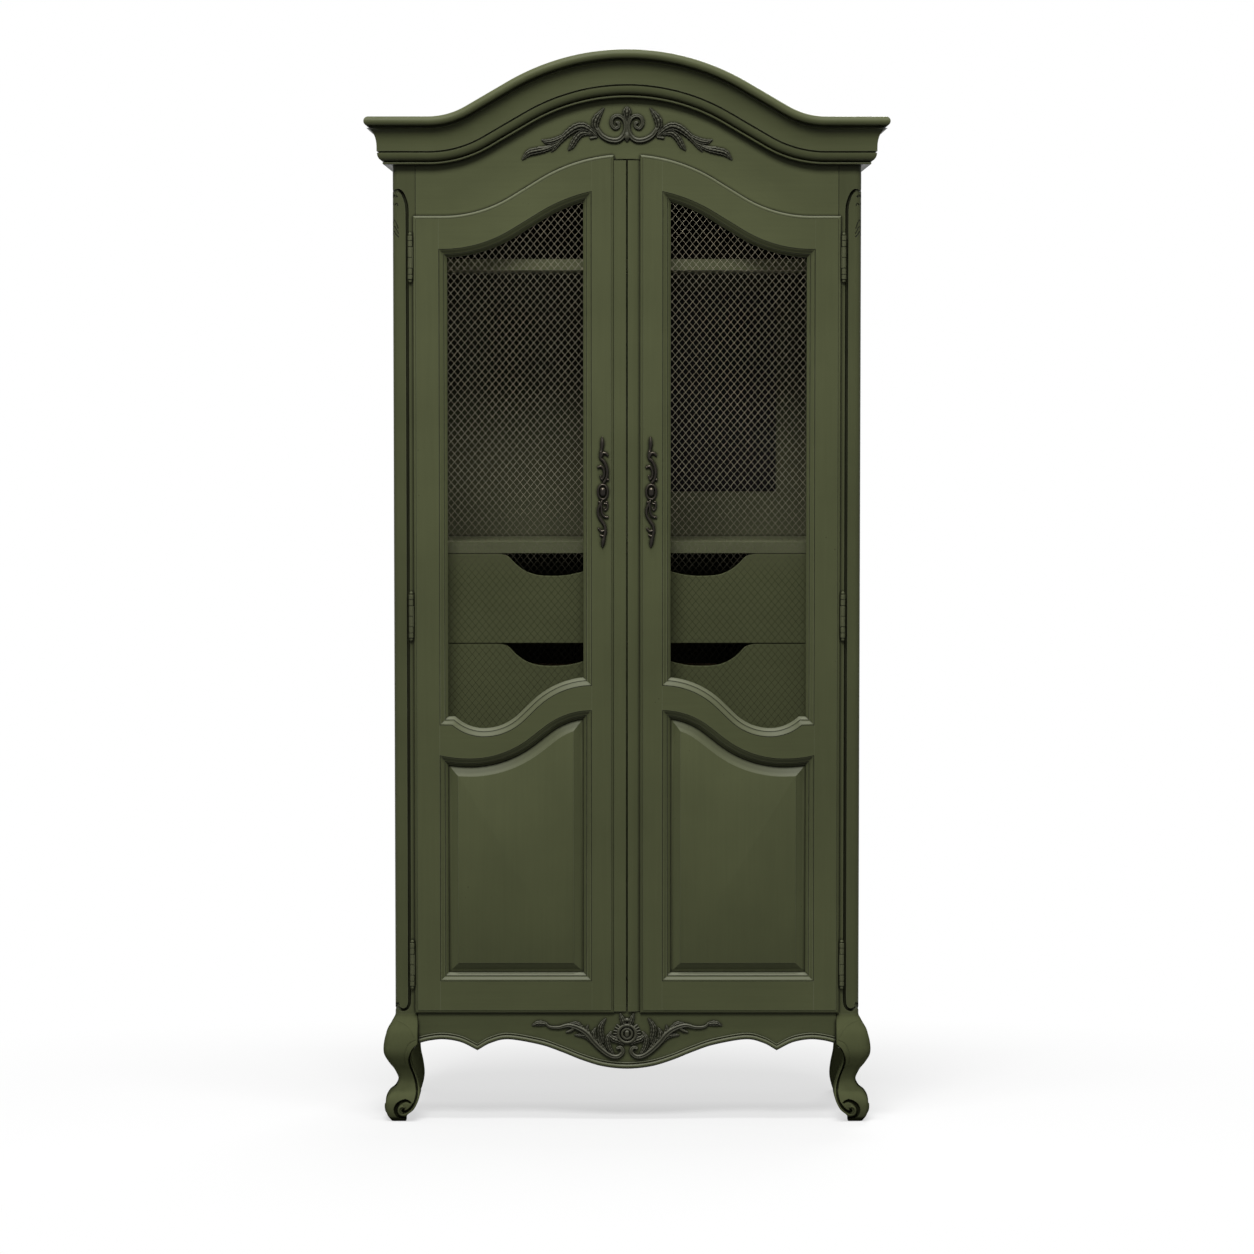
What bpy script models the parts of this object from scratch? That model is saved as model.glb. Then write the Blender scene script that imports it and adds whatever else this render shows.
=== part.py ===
"""Provincial hutch: an arched two-door cupboard on cabriole legs, with mesh lights, shelves and two drawers.

Metres, +Z up, the front faces -Y. The origin lies on the floor under the middle of the overall box.
Outlines use u, the distance from the middle plane, so that one description serves both sides.
"""

import bmesh
import bpy
from math import asin, atan, cos, pi, radians, sin, sqrt, tan
from mathutils import Matrix, Vector

# Carcass
BODY_WIDTH = 0.934
BODY_DEPTH = 0.370
BODY_HEIGHT = 2.013
POST_SIZE = 0.0455
POST_ROUND = 0.011
BOARD = 0.022
ROOF_BOARD = 0.018
ROOF_DROP = 0.010
BOTTOM_BOARD = 0.016
BACK_BOARD = 0.008
BACK_INSET = 0.007
BACK_PANEL_FOOT = 0.150
SHELF_BOARD = 0.0222
SIDE_INSET = 0.004
SIDE_PANEL_BOARD = 0.010
SIDE_PANEL_RAISE = 0.006
SIDE_PANEL_BEVEL = 0.030
SIDE_TOP_RAIL = 0.105
SIDE_APRON_BOARD = 0.033
SIDE_APRON_DROP = 0.078
SIDE_APRON_ARCH = 0.034
JOINT_GAP = 0.0003

# Cornice and its arch
CORNICE_OVERHANG = 0.054
CORNICE_BEAD = 0.018
CORNICE_FILLET = 0.004
CORNICE_COVE_HEIGHT = 0.040
CORNICE_COVE_DEPTH = 0.019
CORNICE_FLAT = 0.008
CORNICE_LOWER_BEAD = 0.013
CORNICE_FOOT = 0.022
CROWN_RISE = 0.132
CROWN_END_FLAT = 0.072
CROWN_FULLNESS = 0.63
CROWN_SHARE = 0.76
FRIEZE_BELOW_CROWN = 0.014

# Doors
DOOR_BOTTOM = 0.2258
DOOR_BELOW_TOP = 0.1949
DOOR_RISE = 0.1222
DOOR_END_FLAT = 0.0565
DOOR_FULLNESS = 0.71
DOOR_SHARE = 0.56
DOOR_LIP = 0.009
DOOR_LIP_OVERLAP = 0.009
DOOR_SIDE_OVERLAP = 0.003
DOOR_INSET = 0.015
DOOR_SEAT_GAP = 0.0005
DOOR_RUN_GAP = 0.0020
DOOR_HINGE_GAP = 0.0035
CENTRE_GAP = 0.0018
HINGE_STILE = 0.049
MEETING_STRIP = 0.0253
MEETING_STILE = 0.0443
TOP_RAIL = 0.0655
BOTTOM_RAIL = 0.0582
LIGHT_HEIGHT = 1.0174
MID_RAIL_LEDGE_RUN = 0.0245
MID_RAIL_DIP_RUN = 0.064
MID_RAIL_DIP = 0.0235
MID_RAIL_RISE = 0.103
MID_RAIL_FULLNESS = 0.73
MID_RAIL_SHARE = 0.57
MID_RAIL_DEPTH = 0.0668
PANEL_DIP_RUN = 0.060
PANEL_END_RISE = 0.0068
PANEL_RISE = 0.0974
PANEL_FULLNESS = 0.75
PANEL_SHARE = 0.44
MOULDING_WIDTH = 0.0165
MOULDING_EDGE = 0.0036
MOULDING_QUIRK = 0.0020
MOULDING_FALL = 0.0095
MOULDING_DEPTH = 0.0125
PANEL_BOARD = 0.0085
PANEL_BEVEL = 0.017
PANEL_FIELD_BACK = 0.0040
PANEL_FIELD_STEP = 0.0012

# Wire mesh in the upper light of each door
MESH_WIDE = 0.068
MESH_TALL = 0.083
MESH_WIRE = 0.0026
MESH_THICKNESS = 0.0022
MESH_RIM = 0.013
MESH_LEAST_GAP = 0.00008

# Hinges
HINGE_FROM_POST_EDGE = 0.0105
HINGE_RADIUS = 0.0047
HINGE_PIN = 0.0022
HINGE_BARREL = 0.087
HINGE_DOOR_KNUCKLE = 0.042
HINGE_FINIAL = 0.0036
HINGE_FINIAL_UP = 0.0029
HINGE_FINIAL_ARC = radians(135)
HINGE_LEAF = 0.0012
HINGE_WING = 0.0116
HINGE_ARM = 0.0016
HINGE_RUN_GAP = 0.0003
HINGE_ABOVE_DOOR_BOTTOM = 0.0916
HINGE_BELOW_SHOULDER = 0.0827
HINGE_MIDDLE_DROP = 0.0068

# Legs: how far each contour lies outside the post's outer face, or inside it, at a height
KNEE_TOP = 0.2165
LEG_OUTER = (
    (0.009, 0.196),
    (0.018, 0.179),
    (0.0235, 0.155),
    (0.0225, 0.136),
    (0.013, 0.118),
    (0.002, 0.102),
    (-0.0055, 0.082),
    (-0.001, 0.067),
    (0.011, 0.056),
    (0.0185, 0.042),
    (0.0195, 0.026),
    (0.016, 0.012),
    (0.008, 0.0),
)
LEG_INNER = (
    (0.0215, 0.0),
    (0.0235, 0.012),
    (0.039, 0.027),
    (0.0495, 0.055),
    (0.0425, 0.086),
    (0.033, 0.114),
    (0.0315, 0.134),
    (0.0375, 0.149),
)
LEG_INNER_TOP = 0.1565
GROOVE_WIDTH = 0.0055
GROOVE_DEPTH = 0.003
GROOVE_INSET = 0.0245
GROOVE_FOOT_ABOVE_KNEE = 0.014
GROOVE_BELOW_TOP = 0.145

# Front apron, whose lower edge dips to a cusp: points are (distance from the post, height) outside the cusp
# and (share of the way from the middle to the cusp, height) inside it
APRON_TOP = 0.2170
APRON_OUTER_EDGE = ((0.0255, 0.1625), (0.0539, 0.1646), (0.0875, 0.1585))
APRON_CUSP = (0.1198, 0.1425)
APRON_INNER_EDGE = (
    (0.908, 0.1575),
    (0.789, 0.1646),
    (0.578, 0.1535),
    (0.4375, 0.139),
    (0.2967, 0.122),
    (0.1558, 0.1095),
)
APRON_CENTRE = 0.105
APRON_BEAD = 0.0040
APRON_BEAD_OUT = 0.0009
APRON_BEAD_UP = 0.0055

# Inside
SHELF_SETBACK = 0.060
UPPER_SHELF_BELOW_SHOULDER = 0.0841
MIDDLE_SHELF_ABOVE_RAIL = 0.3650
BATTEN_HEIGHT = 0.020
BATTEN_REACH = 0.009
SHELF_END_GAP = 0.0007
CHEEK_BOARD = 0.016
DRAWER_FRONT_HEIGHT = 0.1805
DRAWER_FRONT_BOARD = 0.018
DRAWER_GAP = 0.0015
DRAWER_SIDE_GAP = 0.0015
DRAWER_WALL = 0.010
DRAWER_FLOOR = 0.006
DRAWER_BOX_HEIGHT = 0.110
DRAWER_BOX_UP = 0.012
DRAWER_BACK_GAP = 0.020
DRAWER_SCOOP_DEPTH = 0.048
DRAWER_SCOOP_TOP = 0.254
DRAWER_SCOOP_FLOOR = 0.165
RUNNER_WIDTH = 0.014
RUNNER_HEIGHT = 0.009

# Handles: strokes of (across, up from the oval boss, radius)
HANDLE_ABOVE_RAIL = 0.4681
HANDLE_BOSS = (0.0055, 0.0100, 0.0084)
HANDLE_STROKES = (
    ((-0.001, 0.109, 0.0010), (0.000, 0.096, 0.0046), (0.002, 0.082, 0.0030), (0.009, 0.074, 0.0022)),
    (
        (0.002, 0.086, 0.0028),
        (-0.003, 0.066, 0.0028),
        (-0.007, 0.052, 0.0030),
        (-0.002, 0.034, 0.0032),
        (0.0, 0.006, 0.0034),
    ),
    ((-0.006, 0.054, 0.0026), (0.004, 0.046, 0.0030), (0.0105, 0.036, 0.0028), (0.008, 0.026, 0.0018)),
    (
        (0.0, -0.006, 0.0034),
        (-0.006, -0.030, 0.0032),
        (-0.006, -0.046, 0.0028),
        (0.004, -0.062, 0.0028),
        (0.007, -0.070, 0.0026),
    ),
    ((0.007, -0.068, 0.0026), (-0.003, -0.084, 0.0032), (0.001, -0.096, 0.0038), (-0.001, -0.110, 0.0010)),
    ((-0.004, -0.052, 0.0024), (0.006, -0.051, 0.0026), (0.010, -0.046, 0.0016)),
)

# Carved ornaments: strokes of (u, up from the ornament's middle, radius), mirrored to the other side
CROWN_CARVING_BELOW_TOP = 0.029
CROWN_SPINE = ((0.0, -0.016, 0.006), (0.0, 0.012, 0.009), (0.0, 0.048, 0.002))
CROWN_STROKES = (
    (
        (0.001, -0.014, 0.005),
        (0.014, 0.002, 0.0055),
        (0.029, 0.018, 0.006),
        (0.022, 0.030, 0.005),
        (0.013, 0.022, 0.004),
    ),
    (
        (0.003, -0.008, 0.004),
        (0.030, -0.022, 0.0065),
        (0.053, -0.002, 0.007),
        (0.054, 0.024, 0.006),
        (0.046, 0.045, 0.002),
    ),
    (
        (0.036, -0.018, 0.005),
        (0.064, -0.006, 0.009),
        (0.092, 0.013, 0.011),
        (0.128, 0.004, 0.010),
        (0.160, -0.018, 0.008),
        (0.190, -0.036, 0.006),
        (0.205, -0.052, 0.002),
    ),
    ((0.118, 0.008, 0.007), (0.146, 0.004, 0.006), (0.166, -0.006, 0.003)),
    ((0.086, 0.010, 0.008), (0.102, -0.016, 0.006), (0.114, -0.032, 0.002)),
    ((0.060, -0.010, 0.006), (0.076, -0.026, 0.005), (0.092, -0.028, 0.002)),
)
APRON_CARVING_CENTRE = 0.1763
APRON_SPINE = ((0.0, 0.030, 0.004), (0.0, 0.0, 0.020), (0.0, -0.034, 0.004))
APRON_STROKES = (
    ((0.004, 0.012, 0.006), (0.015, 0.028, 0.006), (0.023, 0.036, 0.003)),
    ((0.010, -0.010, 0.006), (0.027, -0.024, 0.006), (0.024, -0.040, 0.005), (0.012, -0.038, 0.004)),
    (
        (0.018, -0.022, 0.006),
        (0.056, -0.030, 0.008),
        (0.096, -0.018, 0.008),
        (0.138, -0.002, 0.007),
        (0.170, 0.012, 0.005),
        (0.190, 0.019, 0.002),
    ),
    ((0.050, -0.026, 0.007), (0.049, 0.002, 0.006), (0.041, 0.030, 0.002)),
    ((0.100, -0.018, 0.006), (0.114, 0.004, 0.005), (0.126, 0.018, 0.002)),
    ((0.062, -0.028, 0.006), (0.090, -0.038, 0.005), (0.114, -0.030, 0.002)),
)

# Finishes: colour, roughness, metallic
OLIVE_PAINT = ((0.066, 0.074, 0.037, 1.0), 0.45, 0.0)
INSIDE_PAINT = ((0.060, 0.066, 0.034, 1.0), 0.55, 0.0)
WIRE_STEEL = ((0.110, 0.095, 0.075, 1.0), 0.40, 0.9)
DARK_BRONZE = ((0.022, 0.017, 0.012, 1.0), 0.38, 0.9)
RAW_TIMBER = ((0.250, 0.160, 0.085, 1.0), 0.65, 0.0)

# Places worked out from the sizes above
HALF = BODY_WIDTH / 2
FRONT = (CORNICE_OVERHANG + JOINT_GAP - BODY_DEPTH) / 2
BACK = FRONT + BODY_DEPTH
POST_INNER = HALF - POST_SIZE
POST_BACK = FRONT + POST_SIZE
REAR_POST_FRONT = BACK - POST_SIZE
ROOF_TOP = BODY_HEIGHT - ROOF_DROP
ROOF_BOTTOM = ROOF_TOP - ROOF_BOARD
POST_TOP = ROOF_BOTTOM - JOINT_GAP
CROWN_SPAN = HALF - CROWN_END_FLAT
BACK_PANEL_FRONT = BACK - BACK_INSET - BACK_BOARD
SIDE_OUTER = HALF - SIDE_INSET
SIDE_INNER = SIDE_OUTER - BOARD
SIDE_APRON_INNER = SIDE_OUTER - SIDE_APRON_BOARD
SIDE_PANEL_OUTER = SIDE_OUTER - SIDE_PANEL_RAISE
SIDE_PANEL_INNER = SIDE_PANEL_OUTER - SIDE_PANEL_BOARD
SIDE_PANEL_FIELD = SIDE_PANEL_OUTER + SIDE_PANEL_RAISE / 2
SIDE_RAIL_BOTTOM = POST_TOP - SIDE_TOP_RAIL
BOTTOM_UNDER = APRON_TOP + JOINT_GAP
BOTTOM_TOP = BOTTOM_UNDER + BOTTOM_BOARD

DOOR_SHOULDER = BODY_HEIGHT - DOOR_BELOW_TOP
MID_RAIL_LEDGE = DOOR_SHOULDER - LIGHT_HEIGHT
PANEL_DIP = MID_RAIL_LEDGE - MID_RAIL_DEPTH
HANDLE_CENTRE = MID_RAIL_LEDGE + HANDLE_ABOVE_RAIL
CROWN_CARVING_CENTRE = BODY_HEIGHT - CROWN_CARVING_BELOW_TOP
GROOVE_HEAD = BODY_HEIGHT - GROOVE_BELOW_TOP
DOOR_FACE = FRONT - DOOR_LIP
DOOR_LIP_BACK = FRONT - DOOR_SEAT_GAP
DOOR_BACK = FRONT + DOOR_INSET
DOOR_OUTER = POST_INNER + DOOR_SIDE_OVERLAP
DOOR_INSET_OUTER = POST_INNER - DOOR_HINGE_GAP
DOOR_SPAN = DOOR_OUTER - DOOR_END_FLAT
STILE_INNER = DOOR_OUTER - HINGE_STILE
MEETING_EDGE = CENTRE_GAP / 2
MEETING_FACE = MEETING_EDGE + MEETING_STRIP
MEETING_INNER = MEETING_FACE + MEETING_STILE
PANEL_BOTTOM = DOOR_BOTTOM + BOTTOM_RAIL
MOULDING_BACK = DOOR_FACE + MOULDING_DEPTH
PANEL_FRONT = MOULDING_BACK + JOINT_GAP

UPPER_SHELF_TOP = DOOR_SHOULDER - UPPER_SHELF_BELOW_SHOULDER
MIDDLE_SHELF_TOP = MID_RAIL_LEDGE + MIDDLE_SHELF_ABOVE_RAIL
SHELF_FRONT = FRONT + SHELF_SETBACK
SHELF_BACK = BACK_PANEL_FRONT - JOINT_GAP
SHELF_HALF = POST_INNER - SHELF_END_GAP
MIDDLE_SHELF_UNDER = MIDDLE_SHELF_TOP - SHELF_BOARD
CHEEK_OUTER = SHELF_HALF - JOINT_GAP
CHEEK_INNER = CHEEK_OUTER - CHEEK_BOARD
DRAWER_HALF = CHEEK_INNER - DRAWER_SIDE_GAP
DRAWER_BOX_FRONT = SHELF_FRONT + DRAWER_FRONT_BOARD + JOINT_GAP
DRAWER_BOX_BACK = SHELF_BACK - DRAWER_BACK_GAP
UPPER_DRAWER_TOP = MIDDLE_SHELF_UNDER - DRAWER_GAP
LOWER_DRAWER_TOP = UPPER_DRAWER_TOP - DRAWER_FRONT_HEIGHT - DRAWER_GAP

HINGE_LOW = DOOR_BOTTOM + HINGE_ABOVE_DOOR_BOTTOM
HINGE_HIGH = DOOR_SHOULDER - HINGE_BELOW_SHOULDER
HINGE_HEIGHTS = (HINGE_LOW, (HINGE_LOW + HINGE_HIGH) / 2 - HINGE_MIDDLE_DROP, HINGE_HIGH)
HINGE_U = POST_INNER + HINGE_FROM_POST_EDGE
HINGE_WING_FACE = FRONT - JOINT_GAP - HINGE_LEAF
HINGE_Y = HINGE_WING_FACE - HINGE_RADIUS + HINGE_LEAF / 2

CURVE_STEPS = 18
SPLINE_STEPS = 3
CUTTER_MARGIN = 0.004
RELIEF_REACH = 0.14
SIDES = (("left", -1), ("right", 1))


class Ogee:
    """Half of an arch: a convex arc at the crown, a straight slope and a concave arc that runs out level.

    fullness goes from 0, a straight slope, to 1, two arcs that meet. share is the crown's part of both radii.
    """

    def __init__(self, span, rise, fullness, share):
        self.span = span
        self.rise = rise
        self.slope = atan(rise / span) * (1 + fullness)
        radii = (span * tan(self.slope) - rise) / (1 / cos(self.slope) - 1)
        self.crown = radii * share
        self.end = radii - self.crown

    def height(self, u, offset=0.0):
        """Height at u above the level end, on the line that runs parallel to the arch at this offset."""
        u = abs(u)
        crown = self.crown + offset
        end = self.end - offset
        crown_edge = crown * sin(self.slope)
        end_edge = self.span - end * sin(self.slope)
        if u <= crown_edge:
            return self.rise - self.crown + sqrt(crown * crown - u * u)
        if u >= self.span:
            return offset
        if u >= end_edge:
            return self.end - sqrt(end * end - (self.span - u) ** 2)
        top = self.rise - self.crown + crown * cos(self.slope)
        return top - (u - crown_edge) * tan(self.slope)


CROWN = Ogee(CROWN_SPAN, CROWN_RISE, CROWN_FULLNESS, CROWN_SHARE)
DOOR_ARCH = Ogee(DOOR_SPAN, DOOR_RISE, DOOR_FULLNESS, DOOR_SHARE)
MID_RAIL_DIP_U = STILE_INNER - MID_RAIL_LEDGE_RUN - MID_RAIL_DIP_RUN
MID_RAIL_LOW = MID_RAIL_LEDGE - MID_RAIL_DIP
MID_RAIL_ARCH = Ogee(MID_RAIL_DIP_U - MEETING_INNER, MID_RAIL_RISE, MID_RAIL_FULLNESS, MID_RAIL_SHARE)
PANEL_DIP_U = STILE_INNER - PANEL_DIP_RUN
PANEL_ARCH = Ogee(PANEL_DIP_U - MEETING_INNER, PANEL_RISE, PANEL_FULLNESS, PANEL_SHARE)


def steps_between(start, stop, count):
    """count + 1 even steps from start to stop."""
    return [start + (stop - start) * i / count for i in range(count + 1)]


def level_arc(run, rise):
    """Radius and turn of an arc that starts level and has climbed rise after run."""
    radius = (run * run + rise * rise) / (2 * rise)
    return radius, asin(run / radius)


def crown_height(u, offset=0.0):
    """Height of the cornice's upper edge, or of a line parallel to it."""
    return BODY_HEIGHT + CROWN.height(u, offset)


def door_height(u, offset=0.0):
    """Height of the door's upper edge, or of a line parallel to it."""
    return DOOR_SHOULDER + DOOR_ARCH.height(u, offset)


def light_head(u, into=0.0):
    """Lower edge of the top rail, the door's upper edge moved straight down, or a line parallel to it."""
    return door_height(u, -into) - TOP_RAIL


def middle_rail_head(into=0.0):
    """Upper edge of the middle rail from the meeting stile to the hinge stile, or a line parallel to it."""
    rise = [
        (u, MID_RAIL_LOW + MID_RAIL_ARCH.height(u - MEETING_INNER, into))
        for u in steps_between(MEETING_INNER + into, MID_RAIL_DIP_U, CURVE_STEPS)
    ]
    radius, turn = level_arc(MID_RAIL_DIP_RUN, MID_RAIL_DIP)
    dip = [
        (MID_RAIL_DIP_U + (radius - into) * sin(a), MID_RAIL_LOW + radius - (radius - into) * cos(a))
        for a in steps_between(0.0, turn, CURVE_STEPS // 3)[1:-1]
    ]
    corner = STILE_INNER - MID_RAIL_LEDGE_RUN - into * tan(turn / 2)
    ledge = MID_RAIL_LEDGE + into
    return rise + dip + [(corner, ledge), (STILE_INNER - into, ledge)]


def panel_head(into=0.0):
    """Lower edge of the middle rail from the meeting stile to the hinge stile, or a line parallel to it."""
    rise = [
        (u, PANEL_DIP + PANEL_ARCH.height(u - MEETING_INNER, -into))
        for u in steps_between(MEETING_INNER + into, PANEL_DIP_U, CURVE_STEPS)
    ]
    radius, _ = level_arc(PANEL_DIP_RUN, PANEL_END_RISE)
    reach = radius + into
    end = [
        (PANEL_DIP_U + run, PANEL_DIP + radius - sqrt(reach * reach - run * run))
        for run in steps_between(0.0, PANEL_DIP_RUN - into, CURVE_STEPS // 4)[1:]
    ]
    return rise + end


def light_loop(into=0.0):
    """Closed outline of the opening for the wire mesh, or one that lies inside it all round."""
    line = steps_between(STILE_INNER - into, MEETING_INNER + into, CURVE_STEPS)
    return middle_rail_head(into) + [(u, light_head(u, into)) for u in line]


def panel_loop(into=0.0):
    """Closed outline of the opening for the lower panel, or one that lies inside it all round."""
    low = PANEL_BOTTOM + into
    return [(STILE_INNER - into, low), (MEETING_INNER + into, low)] + panel_head(into)


def mirrored(points, side):
    """Outline points placed on the left (-1) or the right (1)."""
    return [(side * u, height) for u, height in points]


def smooth(points, steps=SPLINE_STEPS):
    """A Catmull-Rom curve through the points, of any number of values each."""
    vectors = [Vector(point) for point in points]
    padded = [2 * vectors[0] - vectors[1], *vectors, 2 * vectors[-1] - vectors[-2]]
    curve = []
    for a, b, c, d in zip(padded, padded[1:], padded[2:], padded[3:]):
        for i in range(steps):
            t = i / steps
            bend = (2 * a - 5 * b + 4 * c - d) * t**2 + (3 * b - a - 3 * c + d) * t**3
            curve.append(tuple(b + ((c - a) * t + bend) / 2))
    return curve + [tuple(vectors[-1])]


def make_collection(name):
    """A collection linked to the scene."""
    collection = bpy.data.collections.new(name)
    bpy.context.scene.collection.children.link(collection)
    return collection


def add_object(name, data):
    """An object in the collection of the parts."""
    made = bpy.data.objects.new(name, data)
    bpy.data.collections["hutch"].objects.link(made)
    return made


def from_bmesh(name, bm):
    """A mesh object whose faces point outwards."""
    bmesh.ops.recalc_face_normals(bm, faces=bm.faces)
    mesh = bpy.data.meshes.new(name)
    bm.to_mesh(mesh)
    bm.free()
    return add_object(name, mesh)


def curve_to_mesh(guide, to_world=None):
    """A welded mesh object in place of a curve object."""
    bpy.context.view_layer.update()
    evaluated = guide.evaluated_get(bpy.context.evaluated_depsgraph_get())
    bm = bmesh.new()
    mesh = bpy.data.meshes.new_from_object(evaluated)
    bm.from_mesh(mesh)
    bpy.data.meshes.remove(mesh)
    bmesh.ops.remove_doubles(bm, verts=bm.verts, dist=1e-6)
    if to_world:
        bmesh.ops.transform(bm, matrix=to_world, verts=bm.verts)
    name = guide.name.removesuffix("_guide")
    bpy.data.objects.remove(guide)
    return from_bmesh(name, bm)


def board(name, loops, axis, near, far):
    """A flat board: outlines in the other two axes, in the order X, Y, Z, from near to far along the axis."""
    curve = bpy.data.curves.new(name, "CURVE")
    curve.dimensions = "2D"
    curve.fill_mode = "BOTH"
    curve.extrude = (far - near) / 2
    for loop in loops:
        spline = curve.splines.new("POLY")
        spline.points.add(len(loop) - 1)
        spline.use_cyclic_u = True
        for point, (a, b) in zip(spline.points, loop):
            point.co = (a, b, 0.0, 1.0)
    rows = {
        "X": ((0, 0, 1, (near + far) / 2), (1, 0, 0, 0), (0, 1, 0, 0), (0, 0, 0, 1)),
        "Y": ((1, 0, 0, 0), (0, 0, 1, (near + far) / 2), (0, 1, 0, 0), (0, 0, 0, 1)),
        "Z": ((1, 0, 0, 0), (0, 1, 0, 0), (0, 0, 1, (near + far) / 2), (0, 0, 0, 1)),
    }
    return curve_to_mesh(add_object(name + "_guide", curve), Matrix(rows[axis]))


def box(name, xs, ys, zs):
    """A rectangular piece between two values along each axis, given in any order."""
    bm = bmesh.new()
    bmesh.ops.create_cube(bm, size=1.0)
    for vertex in bm.verts:
        vertex.co = [min(span) if co < 0 else max(span) for co, span in zip(vertex.co, (xs, ys, zs))]
    return from_bmesh(name, bm)


def tube(name, points, sides=1):
    """A tapering stroke through points of (x, y, z, radius), with filled ends."""
    curve = bpy.data.curves.new(name, "CURVE")
    curve.dimensions = "3D"
    curve.bevel_depth = 1.0
    curve.bevel_resolution = sides
    curve.use_fill_caps = True
    spline = curve.splines.new("POLY")
    spline.points.add(len(points) - 1)
    for point, (x, y, z, radius) in zip(spline.points, points):
        point.co = (x, y, z, 1.0)
        point.radius = radius
    return curve_to_mesh(add_object(name + "_guide", curve))


def loft(name, rings, closed_profile):
    """Faces between rings of equal length. The last ring joins the first, or both ends are capped."""
    bm = bmesh.new()
    rows = [[bm.verts.new(point) for point in ring] for ring in rings]
    pairs = list(zip(rows, rows[1:]))
    if closed_profile:
        pairs.append((rows[-1], rows[0]))
    for near, far in pairs:
        for i in range(len(near)):
            j = (i + 1) % len(near)
            bm.faces.new((near[i], near[j], far[j], far[i]))
    if not closed_profile:
        caps = [bm.faces.new(rows[0]), bm.faces.new(rows[-1])]
        bmesh.ops.triangulate(bm, faces=caps, ngon_method="BEAUTY")
    return from_bmesh(name, bm)


def turned(name, profile, centre, steps=9):
    """A piece turned about the vertical through centre, from (radius, height) points down its outside."""
    mesh = bpy.data.meshes.new(name)
    closed = profile[0][0] > 0
    links = [(i, i + 1) for i in range(len(profile) - 1)]
    if closed:
        links.append((len(profile) - 1, 0))
    mesh.from_pydata([(radius, 0.0, height) for radius, height in profile], links, [])
    made = add_object(name, mesh)
    made.location = centre
    screw = made.modifiers.new("turning", "SCREW")
    screw.steps = steps
    screw.render_steps = steps
    screw.use_merge_vertices = True
    screw.merge_threshold = 0.0001
    screw.use_smooth_shade = True
    return made


def combine(made, operation, *others, solver="EXACT"):
    """Boolean modifiers that join, cut or trim a piece with helpers, which move to the cutters."""
    for other in others:
        bpy.data.collections["hutch"].objects.unlink(other)
        bpy.data.collections["hutch_cutters"].objects.link(other)
        other.hide_render = True
        other.display_type = "WIRE"
        modifier = made.modifiers.new(other.name, "BOOLEAN")
        modifier.operation = operation
        modifier.solver = solver
        modifier.object = other
    return made


def round_shading(made):
    """Smooth shading with sharp corners kept."""
    made.data.shade_smooth()
    made.data.set_sharp_from_angle(angle=radians(35))
    return made


def finish(made, coat):
    """A material of its own for the piece."""
    colour, roughness, metallic = coat
    material = bpy.data.materials.new(made.name + "_finish")
    material.use_nodes = True
    shader = material.node_tree.nodes["Principled BSDF"]
    shader.inputs["Base Color"].default_value = colour
    shader.inputs["Roughness"].default_value = roughness
    shader.inputs["Metallic"].default_value = metallic
    material.diffuse_color = colour
    made.data.materials.append(material)
    return made


def axis_empty(name, place):
    """An empty on a joint's axis, which carries the pieces that move with it."""
    empty = add_object(name, None)
    empty.location = place
    return empty


def carry(empty, pieces):
    """Parents pieces to an empty and leaves them where they are."""
    bpy.context.view_layer.update()
    for piece in pieces:
        piece.parent = empty
        piece.matrix_parent_inverse = empty.matrix_world.inverted()


def leg_outline(outer_face, inward, straight_back=False):
    """Outline of a post and its leg seen square on. inward points from the outer face into the body."""
    outer = [(outer_face, POST_TOP), (outer_face, KNEE_TOP)]
    if straight_back:
        outer += [(outer_face, 0.0)]
    else:
        contour = smooth([(0.0, KNEE_TOP), *LEG_OUTER])[1:]
        outer += [(outer_face - inward * out, height) for out, height in contour]
    contour = smooth([*LEG_INNER, (POST_SIZE, LEG_INNER_TOP)])
    inner = [(outer_face + inward * into, height) for into, height in contour]
    return outer + inner + [(outer_face + inward * POST_SIZE, POST_TOP)]


def corner_rounding(name, side):
    """Cutter that rounds a front post's outer corner above the knee."""
    margin = CUTTER_MARGIN
    corner = Vector((HALF - POST_ROUND, FRONT + POST_ROUND))
    arc = [corner + POST_ROUND * Vector((cos(a), -sin(a))) for a in steps_between(0.0, pi / 2, 5)]
    outline = [(HALF + margin, FRONT - margin), (HALF + margin, arc[0].y), *[tuple(point) for point in arc]]
    outline.append((arc[-1].x, FRONT - margin))
    return board(name, [mirrored(outline, side)], "Z", KNEE_TOP + margin, POST_TOP + margin)


def front_post(name, side):
    """Front corner post and cabriole leg in one, sawn to the same outline from the front and the side."""
    post = board(name, [mirrored(leg_outline(HALF, -1), side)], "Y", FRONT - POST_SIZE, FRONT + 2 * POST_SIZE)
    outer, inner = side * (HALF + POST_SIZE), side * (HALF - 2 * POST_SIZE)
    side_saw = board(name + "_side_saw", [leg_outline(FRONT, 1)], "X", min(outer, inner), max(outer, inner))
    combine(post, "INTERSECT", side_saw)
    head = (KNEE_TOP + GROOVE_FOOT_ABOVE_KNEE, GROOVE_HEAD)
    near, far = GROOVE_INSET, GROOVE_INSET + GROOVE_WIDTH
    front_groove = box(
        name + "_front_groove",
        (side * (HALF - near), side * (HALF - far)),
        (FRONT - CUTTER_MARGIN, FRONT + GROOVE_DEPTH),
        head,
    )
    side_groove = box(
        name + "_side_groove",
        (side * (HALF - GROOVE_DEPTH), side * (HALF + CUTTER_MARGIN)),
        (FRONT + near, FRONT + far),
        head,
    )
    return combine(post, "DIFFERENCE", corner_rounding(name + "_rounding", side), front_groove, side_groove)


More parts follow.
